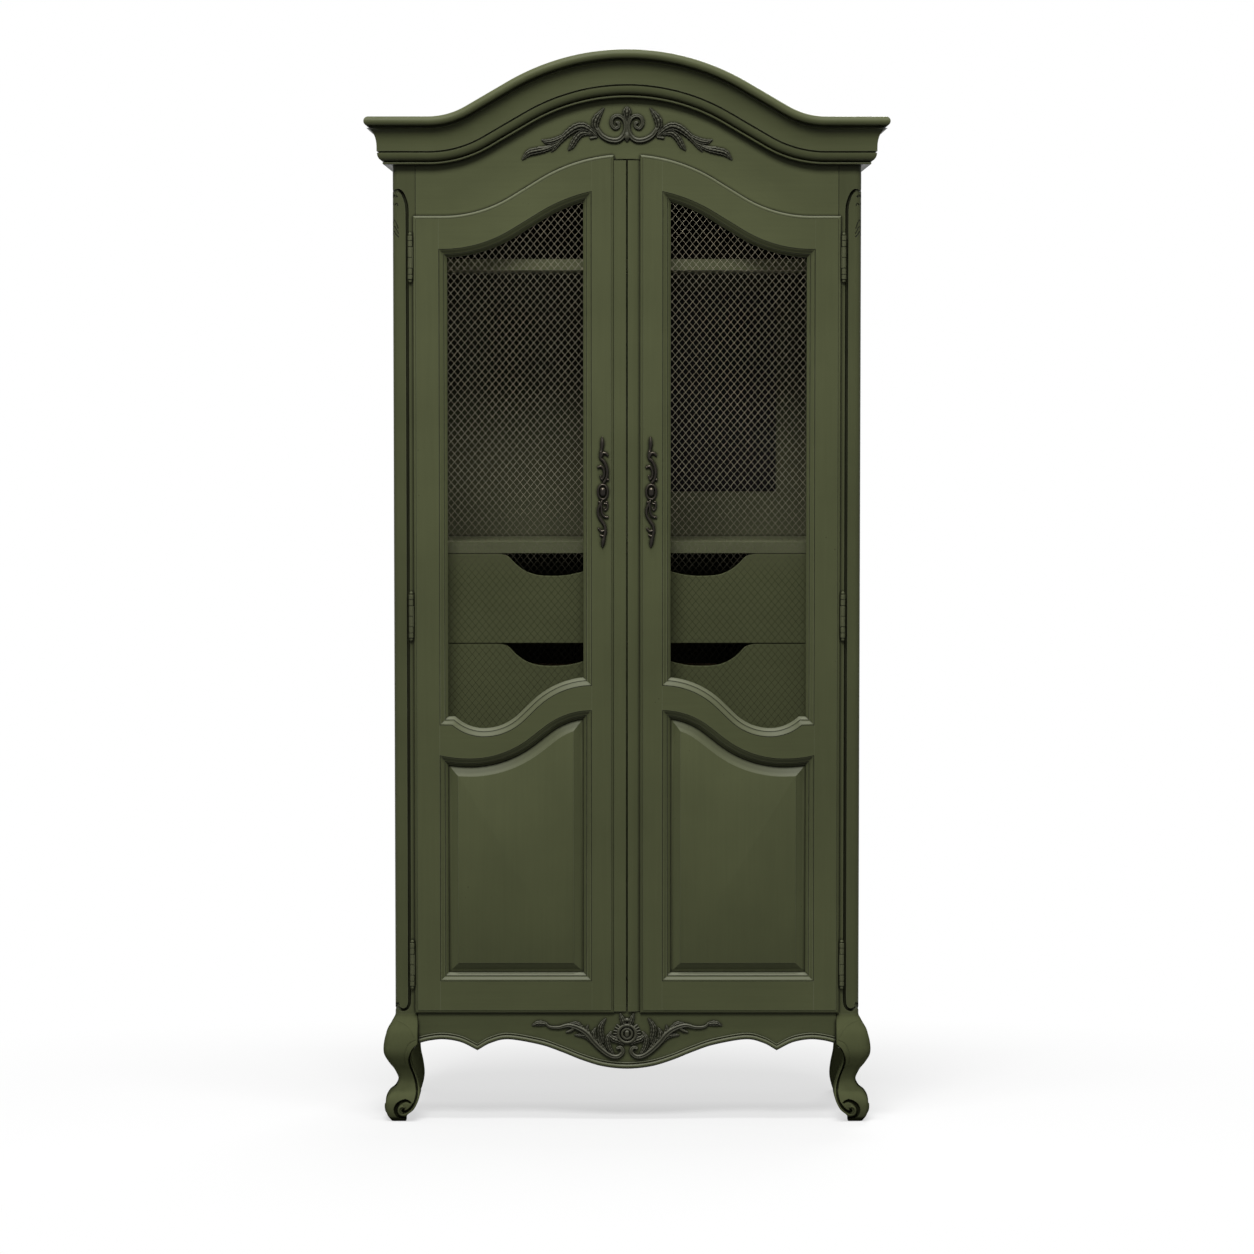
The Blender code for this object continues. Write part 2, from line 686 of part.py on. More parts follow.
def rear_post(name, side):
    """Rear corner post, whose leg is curved on the side and straight at the back."""
    post = board(name, [mirrored(leg_outline(HALF, -1), side)], "Y", BACK - 2 * POST_SIZE, BACK + POST_SIZE)
    outer, inner = side * (HALF + POST_SIZE), side * (HALF - 2 * POST_SIZE)
    saw = board(name + "_side_saw", [leg_outline(BACK, -1, True)], "X", min(outer, inner), max(outer, inner))
    return combine(post, "INTERSECT", saw)


def apron_edges():
    """Lower edge of the front apron in two stretches: from the middle to the cusp, and on to the post."""
    run, low = POST_INNER - APRON_CUSP[0], APRON_CUSP[1]
    wave = [(share * run, height) for share, height in reversed(APRON_INNER_EDGE)]
    end = [(POST_INNER - distance, height) for distance, height in reversed(APRON_OUTER_EDGE)]
    inner = smooth([(0.0, APRON_CENTRE), *wave, (run, low)])
    outer = smooth([(run, low), *end, (POST_INNER - JOINT_GAP, LEG_INNER_TOP)])
    return inner, outer


def apron_bead(name, edge):
    """A bead along a stretch of the apron's lower edge."""
    return tube(name, [(u, FRONT - APRON_BEAD_OUT, height + APRON_BEAD_UP, APRON_BEAD) for u, height in edge])


def front_apron():
    """Scalloped rail between the front legs, with a bead along its lower edge."""
    inner, outer = apron_edges()
    half = inner + outer[1:]
    edge = mirrored(half[:0:-1], -1) + half
    outline = edge + [(half[-1][0], APRON_TOP), (-half[-1][0], APRON_TOP)]
    apron = board("front_apron", [outline], "Y", FRONT, FRONT + BOARD)
    beads = [apron_bead("apron_bead_middle", mirrored(inner[:0:-1], -1) + inner)]
    beads += [apron_bead(f"apron_bead_{word}", mirrored(outer[:-1], side)) for word, side in SIDES]
    return combine(apron, "UNION", *beads, solver="MANIFOLD")


def side_apron(name, side):
    """Shaped rail under a side panel, deep enough to carry the bottom board."""
    front, back = POST_BACK + JOINT_GAP, REAR_POST_FRONT - JOINT_GAP
    middle, run = (front + back) / 2, (back - front) / 2
    low = APRON_TOP - SIDE_APRON_DROP
    arch = [
        (middle + t * run, low + SIDE_APRON_ARCH * (1 - cos(pi * (1 - abs(t)))) / 2)
        for t in steps_between(-1.0, 1.0, CURVE_STEPS)
    ]
    outline = arch + [(back, APRON_TOP), (front, APRON_TOP)]
    near, far = sorted((side * SIDE_OUTER, side * SIDE_APRON_INNER))
    return board(name, [outline], "X", near, far)


def side_panel(name, side):
    """Raised panel between the posts, the side apron and the side rail."""
    low, high = APRON_TOP + JOINT_GAP, SIDE_RAIL_BOTTOM - JOINT_GAP
    front, back = POST_BACK + JOINT_GAP, REAR_POST_FRONT - JOINT_GAP
    rings = []
    profile = ((0.0, SIDE_PANEL_INNER), (0.0, SIDE_PANEL_OUTER), (SIDE_PANEL_BEVEL, SIDE_PANEL_FIELD))
    for into, u in profile:
        ys, zs = (front + into, back - into), (low + into, high - into)
        corners = ((ys[0], zs[0]), (ys[1], zs[0]), (ys[1], zs[1]), (ys[0], zs[1]))
        rings.append([(side * u, y, z) for y, z in corners])
    return loft(name, rings, False)


def cornice_profile():
    """Closed section of the cornice, as outwards and up from its upper edge: bead, cove, lower bead, foot."""
    radius = CORNICE_BEAD / 2
    nose = CORNICE_OVERHANG - radius
    bead = [(nose + radius * sin(a), radius * (cos(a) - 1)) for a in steps_between(0.0, pi, 4)]
    fillet = -CORNICE_BEAD - CORNICE_FILLET
    cove_out = nose + CORNICE_FILLET
    flat_out = cove_out - CORNICE_COVE_DEPTH
    cove = [
        (flat_out + CORNICE_COVE_DEPTH * (1 - sin(a)), fillet - CORNICE_COVE_HEIGHT * (1 - cos(a)))
        for a in steps_between(0.0, pi / 2, 4)
    ]
    step = fillet - CORNICE_COVE_HEIGHT - CORNICE_FLAT
    lower = CORNICE_LOWER_BEAD / 2
    small = [
        (flat_out - CORNICE_FILLET / 2 + lower * sin(a) / 2, step - lower * (1 - cos(a)))
        for a in steps_between(0.0, pi, 3)
    ]
    base = step - CORNICE_LOWER_BEAD
    reach = small[-1][0] - CORNICE_FILLET / 2
    foot = [(reach * (1 - sin(a)), base - CORNICE_FOOT * (1 - cos(a))) for a in steps_between(0.0, pi / 2, 3)]
    return [(0.0, 0.0), *bead, (cove_out, -CORNICE_BEAD), *cove, (flat_out, step), *small, *foot]


def cornice():
    """Cornice moulding: one sweep along both returns and over the arch, mitred at the corners."""
    profile = cornice_profile()
    wall, face = HALF + JOINT_GAP, FRONT - JOINT_GAP
    sections = []
    for u in steps_between(-CROWN_SPAN, CROWN_SPAN, 2 * CURVE_STEPS):
        nudge = CROWN_SPAN / 1000
        slope = (crown_height(u + nudge) - crown_height(u - nudge)) / (2 * nudge)
        lean = atan(slope) if abs(u) < CROWN_SPAN else 0.0
        top = crown_height(u)
        sections.append([(u - up * sin(lean), face - out, top + up * cos(lean)) for out, up in profile])
    for side in (-1, 1):
        corner = [(side * (wall + out), face - out, BODY_HEIGHT + up) for out, up in profile]
        end = [(side * (wall + out), BACK, BODY_HEIGHT + up) for out, up in profile]
        sections = [end, corner, *sections] if side < 0 else [*sections, corner, end]
    return loft("cornice", sections, False)


def frieze_board():
    """Arched board between the posts, behind the cornice and above the doors."""
    half = POST_INNER - JOINT_GAP
    line = steps_between(-half, half, 2 * CURVE_STEPS)
    head = [(u, crown_height(u, -FRIEZE_BELOW_CROWN)) for u in line]
    foot = [(u, door_height(u, -DOOR_LIP_OVERLAP)) for u in reversed(line)]
    return board("frieze_board", [head + foot], "Y", FRONT, FRONT + BOARD)


def carving(name, centre, spine, strokes):
    """Carved ornament on the front: tapering strokes joined into one relief with a flat back."""
    rest = FRONT - JOINT_GAP
    middle = tube(name, [(u, rest, centre + up, radius) for u, up, radius in smooth(spine)])
    for i, stroke in enumerate(strokes):
        line = smooth(stroke, 2)
        for word, side in SIDES:
            points = [(side * u, rest, centre + up, radius) for u, up, radius in line]
            combine(middle, "UNION", tube(f"{name}_stroke_{i}_{word}", points))
    return combine(middle, "DIFFERENCE", backing(name, rest, centre))


def backing(name, rest, centre):
    """Cutter behind a relief, which leaves its back flat."""
    heights = (centre - RELIEF_REACH, centre + RELIEF_REACH)
    return box(name + "_backing", (-HALF, HALF), (rest, rest + RELIEF_REACH), heights)


def roof_board():
    """Board over the posts and the side rails, behind the frieze."""
    edge = HALF - JOINT_GAP
    return box("roof_board", (-edge, edge), (FRONT + BOARD + JOINT_GAP, BACK), (ROOF_BOTTOM, ROOF_TOP))


def bottom_board():
    """Floor of the cupboard, notched round the posts and carried on the aprons."""
    narrow = POST_INNER - JOINT_GAP
    wide = SIDE_PANEL_INNER - JOINT_GAP
    front, back = POST_BACK + JOINT_GAP, REAR_POST_FRONT - JOINT_GAP
    notch = [(narrow, front), (wide, front), (wide, back), (narrow, back)]
    right = [(narrow, FRONT), *notch, (narrow, SHELF_BACK)]
    outline = right + [(-x, y) for x, y in reversed(right)]
    return board("bottom_board", [outline], "Z", BOTTOM_UNDER, BOTTOM_TOP)


def shelf(name, top):
    """A fixed shelf between the posts."""
    return box(name, (-SHELF_HALF, SHELF_HALF), (SHELF_FRONT, SHELF_BACK), (top - SHELF_BOARD, top))


def shelf_batten(name, side):
    """Batten on a side panel that carries one end of the upper shelf."""
    top = UPPER_SHELF_TOP - SHELF_BOARD - JOINT_GAP
    return box(
        name,
        (side * (SIDE_PANEL_INNER - JOINT_GAP), side * (POST_INNER - BATTEN_REACH)),
        (POST_BACK + JOINT_GAP, REAR_POST_FRONT - JOINT_GAP),
        (top - BATTEN_HEIGHT, top),
    )


def drawer_cheek(name, side):
    """Upright inside the cupboard that carries the middle shelf, with two drawer runners."""
    low, high = BOTTOM_TOP + JOINT_GAP, MIDDLE_SHELF_UNDER - JOINT_GAP
    cheek = box(name, (side * CHEEK_INNER, side * CHEEK_OUTER), (SHELF_FRONT, SHELF_BACK), (low, high))
    for tier, top in (("upper", UPPER_DRAWER_TOP), ("lower", LOWER_DRAWER_TOP)):
        runner_top = top - DRAWER_FRONT_HEIGHT + DRAWER_BOX_UP - JOINT_GAP
        runner = box(
            f"{name}_{tier}_runner",
            (side * (CHEEK_INNER - RUNNER_WIDTH), side * (CHEEK_INNER + CHEEK_BOARD / 2)),
            (DRAWER_BOX_FRONT, DRAWER_BOX_BACK),
            (runner_top - RUNNER_HEIGHT, runner_top),
        )
        combine(cheek, "UNION", runner)
    return cheek


def back_panel():
    """Sheet between the rear posts, behind the shelves."""
    edge = POST_INNER - JOINT_GAP
    return box(
        "back_panel",
        (-edge, edge),
        (BACK_PANEL_FRONT, BACK_PANEL_FRONT + BACK_BOARD),
        (BACK_PANEL_FOOT, POST_TOP),
    )


def lipped(name, front_loop, back_loop, side):
    """A door member in two layers: the lip in front of the face frame and the part let into the opening."""
    member = board(name, [mirrored(front_loop, side)], "Y", DOOR_FACE, DOOR_LIP_BACK)
    overlap = DOOR_LIP / 2
    inner = board(name + "_inset", [mirrored(back_loop, side)], "Y", DOOR_LIP_BACK - overlap, DOOR_BACK)
    return combine(member, "UNION", inner)


def upright(inner, outer, offset, low):
    """Outline of a stile between two distances from the middle, up to the arch or a line parallel to it."""
    head = [(u, door_height(u, offset)) for u in steps_between(outer, inner, CURVE_STEPS // 3)]
    return [(inner, low), (outer, low)] + head


def door_stiles(word, side):
    """The stile on the hinges and the rebated stile at the meeting of the doors."""
    shift = -DOOR_LIP_OVERLAP - DOOR_RUN_GAP
    inset_low = DOOR_BOTTOM + DOOR_LIP_OVERLAP
    inner = STILE_INNER + JOINT_GAP
    hinge_stile = lipped(
        f"{word}_door_hinge_stile",
        upright(inner, DOOR_OUTER, 0.0, DOOR_BOTTOM),
        upright(inner, DOOR_INSET_OUTER, shift, inset_low),
        side,
    )
    outer = MEETING_INNER - JOINT_GAP
    meeting_stile = lipped(
        f"{word}_door_meeting_stile",
        upright(MEETING_FACE, outer, 0.0, DOOR_BOTTOM),
        upright(MEETING_EDGE, outer, shift, inset_low),
        side,
    )
    return [hinge_stile, meeting_stile]


def door_rails(word, side):
    """The arched top rail, the serpentine middle rail and the bottom rail."""
    line = steps_between(MEETING_INNER, STILE_INNER, CURVE_STEPS)
    foot = [(u, light_head(u)) for u in reversed(line)]
    shift = -DOOR_LIP_OVERLAP - DOOR_RUN_GAP
    top_rail = lipped(
        f"{word}_door_top_rail",
        [(u, door_height(u)) for u in line] + foot,
        [(u, door_height(u, shift)) for u in line] + foot,
        side,
    )
    outline = middle_rail_head() + panel_head()[::-1]
    middle_rail = board(f"{word}_door_middle_rail", [mirrored(outline, side)], "Y", DOOR_FACE, DOOR_BACK)
    ends = (MEETING_INNER, STILE_INNER)
    low, high = DOOR_BOTTOM, PANEL_BOTTOM
    front = [(ends[0], low), (ends[1], low), (ends[1], high), (ends[0], high)]
    rebated = low + DOOR_LIP_OVERLAP
    back = [(ends[0], rebated), (ends[1], rebated), (ends[1], high), (ends[0], high)]
    bottom_rail = lipped(f"{word}_door_bottom_rail", front, back, side)
    return [top_rail, middle_rail, bottom_rail]


def door_moulding(name, loop, side):
    """Ogee moulding round an opening of the door, mitred at its corners."""
    fall, width = MOULDING_FALL, MOULDING_WIDTH
    run = width - MOULDING_EDGE - MOULDING_QUIRK
    ogee = [(MOULDING_EDGE + run * t, fall * (1 - cos(pi * t)) / 2) for t in steps_between(0.0, 1.0, 4)]
    profile = [(JOINT_GAP, 0.0), *ogee, (width, fall), (width, MOULDING_DEPTH), (JOINT_GAP, MOULDING_DEPTH)]
    rings = [[(side * u, DOOR_FACE + back, z) for u, z in loop(into)] for into, back in profile]
    return loft(name, rings, True)


def door_panel(name, side):
    """Raised panel behind the lower moulding, with a hollow bevel round its field."""
    seat = MOULDING_WIDTH + 2 * JOINT_GAP
    field_front = DOOR_FACE + PANEL_FIELD_BACK
    hollow = field_front + PANEL_FIELD_STEP
    drop = PANEL_FRONT - hollow
    profile = [(2 * JOINT_GAP, PANEL_FRONT + PANEL_BOARD), (2 * JOINT_GAP, PANEL_FRONT), (seat, PANEL_FRONT)]
    bevel = steps_between(0.0, 1.0, 3)[1:]
    profile += [(seat + PANEL_BEVEL * t, hollow + drop * (1 - t) ** 2) for t in bevel]
    profile.append((seat + PANEL_BEVEL + PANEL_FIELD_STEP, field_front))
    rings = [[(side * u, y, z) for u, z in panel_loop(into)] for into, y in profile]
    return loft(name, rings, False)


def clipped(loop, window):
    """The part of a closed outline that lies inside a convex window, whose corners run anticlockwise."""
    kept = [Vector(point) for point in loop]
    corners = [Vector(corner) for corner in window]
    for start, stop in zip(corners, corners[1:] + corners[:1]):
        edge = stop - start
        depths = [edge.cross(point - start) for point in kept]
        trimmed = []
        for i, point in enumerate(kept):
            before, depth = depths[i - 1], depths[i]
            if (before > 0) != (depth > 0):
                trimmed.append(kept[i - 1].lerp(point, before / (before - depth)))
            if depth > 0:
                trimmed.append(point)
        kept = trimmed
    return [tuple(point) for point in kept]


def area_of(loop):
    """Area inside a closed outline."""
    points = [Vector(point) for point in loop]
    return abs(sum(a.cross(b) for a, b in zip(points, points[1:] + points[:1]))) / 2


def mesh_gaps():
    """Diamond gaps between the wires, trimmed where the rim crosses them."""
    sight = light_loop(MESH_RIM)
    left, low = min(u for u, _ in sight), min(z for _, z in sight)
    wide, tall = MESH_WIDE / 2, MESH_TALL / 2
    slack = MESH_WIRE / 2 * sqrt(1 / wide**2 + 1 / tall**2)
    reach, rise = wide * (1 - slack), tall * (1 - slack)
    gaps = []
    for column in range(int((max(u for u, _ in sight) - left) / wide) + 2):
        for row in range(int((max(z for _, z in sight) - low) / tall) + 2):
            u, z = left + column * wide, low + row * tall
            diamond = [(u - reach, z), (u, z - rise), (u + reach, z), (u, z + rise)]
            gap = clipped(sight, diamond) if (column + row) % 2 == 0 else []
            if area_of(gap) > MESH_LEAST_GAP:
                gaps.append(gap)
    return gaps


def door_mesh(name, side):
    """Wire mesh in a flat rim behind the upper moulding."""
    loops = [light_loop(2 * JOINT_GAP), *mesh_gaps()]
    placed = [mirrored(loop, side) for loop in loops]
    return board(name, placed, "Y", PANEL_FRONT, PANEL_FRONT + MESH_THICKNESS)


def door_handle(name, side):
    """Cast rococo pull: an oval boss among scrolls, flat at the back. Both doors have the same hand."""
    centre_x = side * (MEETING_FACE + MEETING_INNER) / 2
    rest = DOOR_FACE - JOINT_GAP
    bm = bmesh.new()
    bmesh.ops.create_uvsphere(bm, u_segments=12, v_segments=8, radius=1.0)
    across, out, up = HANDLE_BOSS
    scale = Matrix.Diagonal((across, out, up * 2, 1.0))
    place = Matrix.Translation((centre_x, rest, HANDLE_CENTRE))
    bmesh.ops.transform(bm, matrix=place @ scale, verts=bm.verts)
    handle = from_bmesh(name, bm)
    for i, stroke in enumerate(HANDLE_STROKES):
        points = [(centre_x + x, rest, HANDLE_CENTRE + up, radius) for x, up, radius in smooth(stroke, 2)]
        combine(handle, "UNION", tube(f"{name}_stroke_{i}", points))
    return combine(handle, "DIFFERENCE", backing(name, rest, HANDLE_CENTRE))


def hinge_frame_half(name, side, height):
    """Hinge half on the post: two knuckles on a pin, ball finials and a wing behind each knuckle."""
    end, split = HINGE_BARREL / 2, HINGE_DOOR_KNUCKLE / 2 + HINGE_RUN_GAP
    ball = HINGE_FINIAL
    crest = end + HINGE_FINIAL_UP
    arc = [(ball * sin(a), crest + ball * cos(a)) for a in steps_between(0.0, HINGE_FINIAL_ARC, 3)]
    half = [*arc, (HINGE_RADIUS, end), (HINGE_RADIUS, split), (HINGE_PIN, split)]
    profile = half + [(radius, -z) for radius, z in reversed(half)]
    made = turned(name, profile, (side * HINGE_U, HINGE_Y, height))
    for word, sign in (("upper", 1), ("lower", -1)):
        wing = box(
            f"{name}_{word}_wing",
            (side * (HINGE_U - HINGE_WING / 2), side * (HINGE_U + HINGE_WING / 2)),
            (HINGE_WING_FACE, FRONT - JOINT_GAP),
            (height + sign * (split + HINGE_RUN_GAP), height + sign * (end - HINGE_RUN_GAP)),
        )
        combine(made, "UNION", wing)
    return made


def hinge_door_half(name, side, height):
    """Hinge half on the door: the middle knuckle round the pin, and a leaf on the edge of the door's lip."""
    half = HINGE_DOOR_KNUCKLE / 2
    bore = HINGE_PIN + HINGE_RUN_GAP
    profile = [(bore, half), (HINGE_RADIUS, half), (HINGE_RADIUS, -half), (bore, -half)]
    made = turned(name, profile, (side * HINGE_U, HINGE_Y, height))
    leaf_near = DOOR_OUTER + JOINT_GAP
    leaf_far = leaf_near + HINGE_LEAF
    heights = (height - half + HINGE_RUN_GAP, height + half - HINGE_RUN_GAP)
    leaf = box(
        name + "_leaf",
        (side * leaf_near, side * leaf_far),
        (DOOR_FACE + HINGE_LEAF, DOOR_LIP_BACK - HINGE_LEAF),
        heights,
    )
    arm = box(
        name + "_arm",
        (side * (leaf_near + HINGE_LEAF / 2), side * (HINGE_U - (bore + HINGE_RADIUS) / 2)),
        (HINGE_Y - HINGE_ARM / 2, HINGE_Y + HINGE_ARM / 2),
        (heights[0] + HINGE_RUN_GAP, heights[1] - HINGE_RUN_GAP),
    )
    return combine(made, "UNION", leaf, arm)


def drawer(word, top):
    """A drawer: a front with a scooped edge to pull by, and a box behind it that slides on the runners."""
    low = top - DRAWER_FRONT_HEIGHT
    run = DRAWER_SCOOP_TOP - DRAWER_SCOOP_FLOOR
    scoop = [
        (DRAWER_SCOOP_FLOOR + run * t, top - DRAWER_SCOOP_DEPTH * (1 + cos(pi * t)) / 2)
        for t in steps_between(0.0, 1.0, CURVE_STEPS // 2)
    ]
    right = scoop + [(DRAWER_HALF, top), (DRAWER_HALF, low)]
    outline = right + mirrored(right[::-1], -1)
    front = board(f"{word}_drawer_front", [outline], "Y", SHELF_FRONT, SHELF_FRONT + DRAWER_FRONT_BOARD)
    floor = low + DRAWER_BOX_UP
    rim = floor + DRAWER_BOX_HEIGHT
    depth = (DRAWER_BOX_FRONT, DRAWER_BOX_BACK)
    case = box(f"{word}_drawer_box", (-DRAWER_HALF, DRAWER_HALF), depth, (floor, rim))
    wall = DRAWER_WALL
    hollow = box(
        f"{word}_drawer_hollow",
        (wall - DRAWER_HALF, DRAWER_HALF - wall),
        (depth[0] + wall, depth[1] - wall),
        (floor + DRAWER_FLOOR, rim + wall),
    )
    combine(case, "DIFFERENCE", hollow)
    finish(front, INSIDE_PAINT)
    finish(case, RAW_TIMBER)
    carry(axis_empty(f"{word}_drawer_slide", (0.0, SHELF_FRONT, low)), [front, case])


def door(word, side):
    """A door with its frame, mouldings, panel, wire mesh, handle and hinge halves, hung on its axis."""
    painted = door_stiles(word, side) + door_rails(word, side)
    painted.append(round_shading(door_moulding(f"{word}_door_mesh_moulding", light_loop, side)))
    painted.append(round_shading(door_moulding(f"{word}_door_panel_moulding", panel_loop, side)))
    painted.append(door_panel(f"{word}_door_panel", side))
    for i, height in enumerate(HINGE_HEIGHTS):
        painted.append(hinge_door_half(f"{word}_door_hinge_leaf_{i + 1}", side, height))
    for piece in painted:
        finish(piece, OLIVE_PAINT)
    mesh = finish(door_mesh(f"{word}_door_mesh", side), WIRE_STEEL)
    handle = finish(round_shading(door_handle(f"{word}_door_handle", side)), DARK_BRONZE)
    carry(axis_empty(f"{word}_door_axis", (side * HINGE_U, HINGE_Y, DOOR_BOTTOM)), [*painted, mesh, handle])


def carcass():
    """Every fixed piece."""
    painted = [frieze_board(), front_apron(), roof_board(), bottom_board(), back_panel()]
    painted.append(round_shading(cornice()))
    painted.append(round_shading(carving("crown_carving", CROWN_CARVING_CENTRE, CROWN_SPINE, CROWN_STROKES)))
    painted.append(round_shading(carving("apron_carving", APRON_CARVING_CENTRE, APRON_SPINE, APRON_STROKES)))
    inside = [shelf("upper_shelf", UPPER_SHELF_TOP), shelf("middle_shelf", MIDDLE_SHELF_TOP)]
    rail_ys = (POST_BACK + JOINT_GAP, REAR_POST_FRONT - JOINT_GAP)
    for word, side in SIDES:
        painted.append(front_post(f"front_post_{word}", side))
        painted.append(rear_post(f"rear_post_{word}", side))
        painted.append(side_apron(f"side_apron_{word}", side))
        painted.append(side_panel(f"side_panel_{word}", side))
        rail_xs = (side * SIDE_OUTER, side * SIDE_INNER)
        painted.append(box(f"side_rail_{word}", rail_xs, rail_ys, (SIDE_RAIL_BOTTOM, POST_TOP)))
        for i, height in enumerate(HINGE_HEIGHTS):
            painted.append(hinge_frame_half(f"{word}_frame_hinge_{i + 1}", side, height))
        inside.append(shelf_batten(f"shelf_batten_{word}", side))
        inside.append(drawer_cheek(f"drawer_cheek_{word}", side))
    for piece in painted:
        finish(piece, OLIVE_PAINT)
    for piece in inside:
        finish(piece, INSIDE_PAINT)


def main():
    """Builds the hutch."""
    for old in list(bpy.data.objects):
        bpy.data.objects.remove(old)
    make_collection("hutch")
    make_collection("hutch_cutters")
    carcass()
    door("left", -1)
    door("right", 1)
    drawer("upper", UPPER_DRAWER_TOP)
    drawer("lower", LOWER_DRAWER_TOP)


main()
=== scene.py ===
import logging
from dataclasses import dataclass, field, replace
from enum import Enum
from math import asin, atan, cos, pi, radians, sin, sqrt, tan
from typing import Callable, Iterable, Sequence

import bmesh
import bpy
import numpy as np
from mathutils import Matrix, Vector


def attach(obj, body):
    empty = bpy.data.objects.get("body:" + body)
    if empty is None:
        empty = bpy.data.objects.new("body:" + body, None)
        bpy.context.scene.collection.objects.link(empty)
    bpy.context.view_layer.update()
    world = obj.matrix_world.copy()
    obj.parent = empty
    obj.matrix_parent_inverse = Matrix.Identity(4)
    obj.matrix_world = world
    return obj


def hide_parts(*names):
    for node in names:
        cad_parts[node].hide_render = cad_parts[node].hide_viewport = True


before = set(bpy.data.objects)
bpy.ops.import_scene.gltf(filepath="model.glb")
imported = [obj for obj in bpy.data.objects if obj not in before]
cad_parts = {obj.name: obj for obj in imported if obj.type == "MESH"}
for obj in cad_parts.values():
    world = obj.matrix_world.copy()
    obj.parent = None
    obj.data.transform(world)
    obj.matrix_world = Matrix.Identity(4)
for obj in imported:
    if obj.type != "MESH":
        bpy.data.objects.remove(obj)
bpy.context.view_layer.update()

LOG = logging.getLogger("hutch")
Point2 = tuple[float, float]
Point3 = tuple[float, float, float]
Loop = list[Point2]
Colour = tuple[float, float, float]
Outline = Callable[[float], Loop]

# Main places of the hutch, in metres
HALF = 0.467  # outer face of the posts, either side of the middle
FRONT = -0.15785  # front face of the posts
BACK = 0.21215  # back of the rear posts
HEIGHT = 2.013  # upper edge of the cornice at its level ends
POST = 0.0455  # width of a post
GAP = 0.0003  # play between pieces that meet
CARCASS = "carcass"
SIDES = (("left", -1), ("right", 1))


class Grain(Enum):
    """Which way the brush marks and the timber run: scales of the grain along X, Y and Z."""

    UPRIGHT = (160.0, 160.0, 5.0)
    LEVEL = (5.0, 160.0, 160.0)
    NONE = (60.0, 60.0, 60.0)


class Section(Enum):
    """Cross-section of a carved stroke."""

    ROUND = "round"
    FLUTED = "fluted"
    LEAF = "leaf"


# ---- outlines ----


def steps(start: float, stop: float, count: int) -> list[float]:
    """Even steps from start to stop, both included."""
    return [start + (stop - start) * i / count for i in range(count + 1)]


def turns(count: int) -> list[float]:
    """Even angles of one full turn, from 0."""
    return [2 * pi * i / count for i in range(count)]


def spline(points: Sequence[Sequence[float]], count: int) -> np.ndarray:
    """A Catmull-Rom curve through points of any number of values.

    Args:
        points: What the curve passes through.
        count: Steps between two neighbours.

    Returns:
        One row for each point of the curve.
    """
    p = np.array(points, float)
    p = np.vstack([2 * p[0] - p[1], p, 2 * p[-1] - p[-2]])
    t = np.arange(count)[:, None] / count
    rows = []
    for a, b, c, d in zip(p, p[1:], p[2:], p[3:]):
        bend = (2 * a - 5 * b + 4 * c - d) * t**2 + (3 * b - a - 3 * c + d) * t**3
        rows.append(b + ((c - a) * t + bend) / 2)
    return np.vstack([*rows, p[-2]])


class Ogee:
    """Half of an arch: a convex arc at the crown, a straight slope and a concave arc that runs out level."""

    def __init__(self, span: float, rise: float, fullness: float, share: float) -> None:
        """Solves the two radii.

        Args:
            span: From the middle to the level end.
            rise: From the level end to the crown.
            fullness: 0 for a straight slope, 1 for two arcs that meet.
            share: The crown's part of both radii.
        """
        self.span = span
        self.rise = rise
        self.slope = atan(rise / span) * (1 + fullness)
        radii = (span * tan(self.slope) - rise) / (1 / cos(self.slope) - 1)
        self.crown = radii * share
        self.end = radii - self.crown

    def height(self, u: float, offset: float = 0.0) -> float:
        """Height above the level end.

        Args:
            u: Distance from the middle.
            offset: How far above the arch a line parallel to it runs.

        Returns:
            The height of the arch or of that line.
        """
        u = abs(u)
        crown = self.crown + offset
        end = self.end - offset
        crown_edge = crown * sin(self.slope)
        end_edge = self.span - end * sin(self.slope)
        if u <= crown_edge:
            return self.rise - self.crown + sqrt(crown * crown - u * u)
        if u >= self.span:
            return offset
        if u >= end_edge:
            return self.end - sqrt(end * end - (self.span - u) ** 2)
        top = self.rise - self.crown + crown * cos(self.slope)
        return top - (u - crown_edge) * tan(self.slope)


# ---- mesh helpers ----


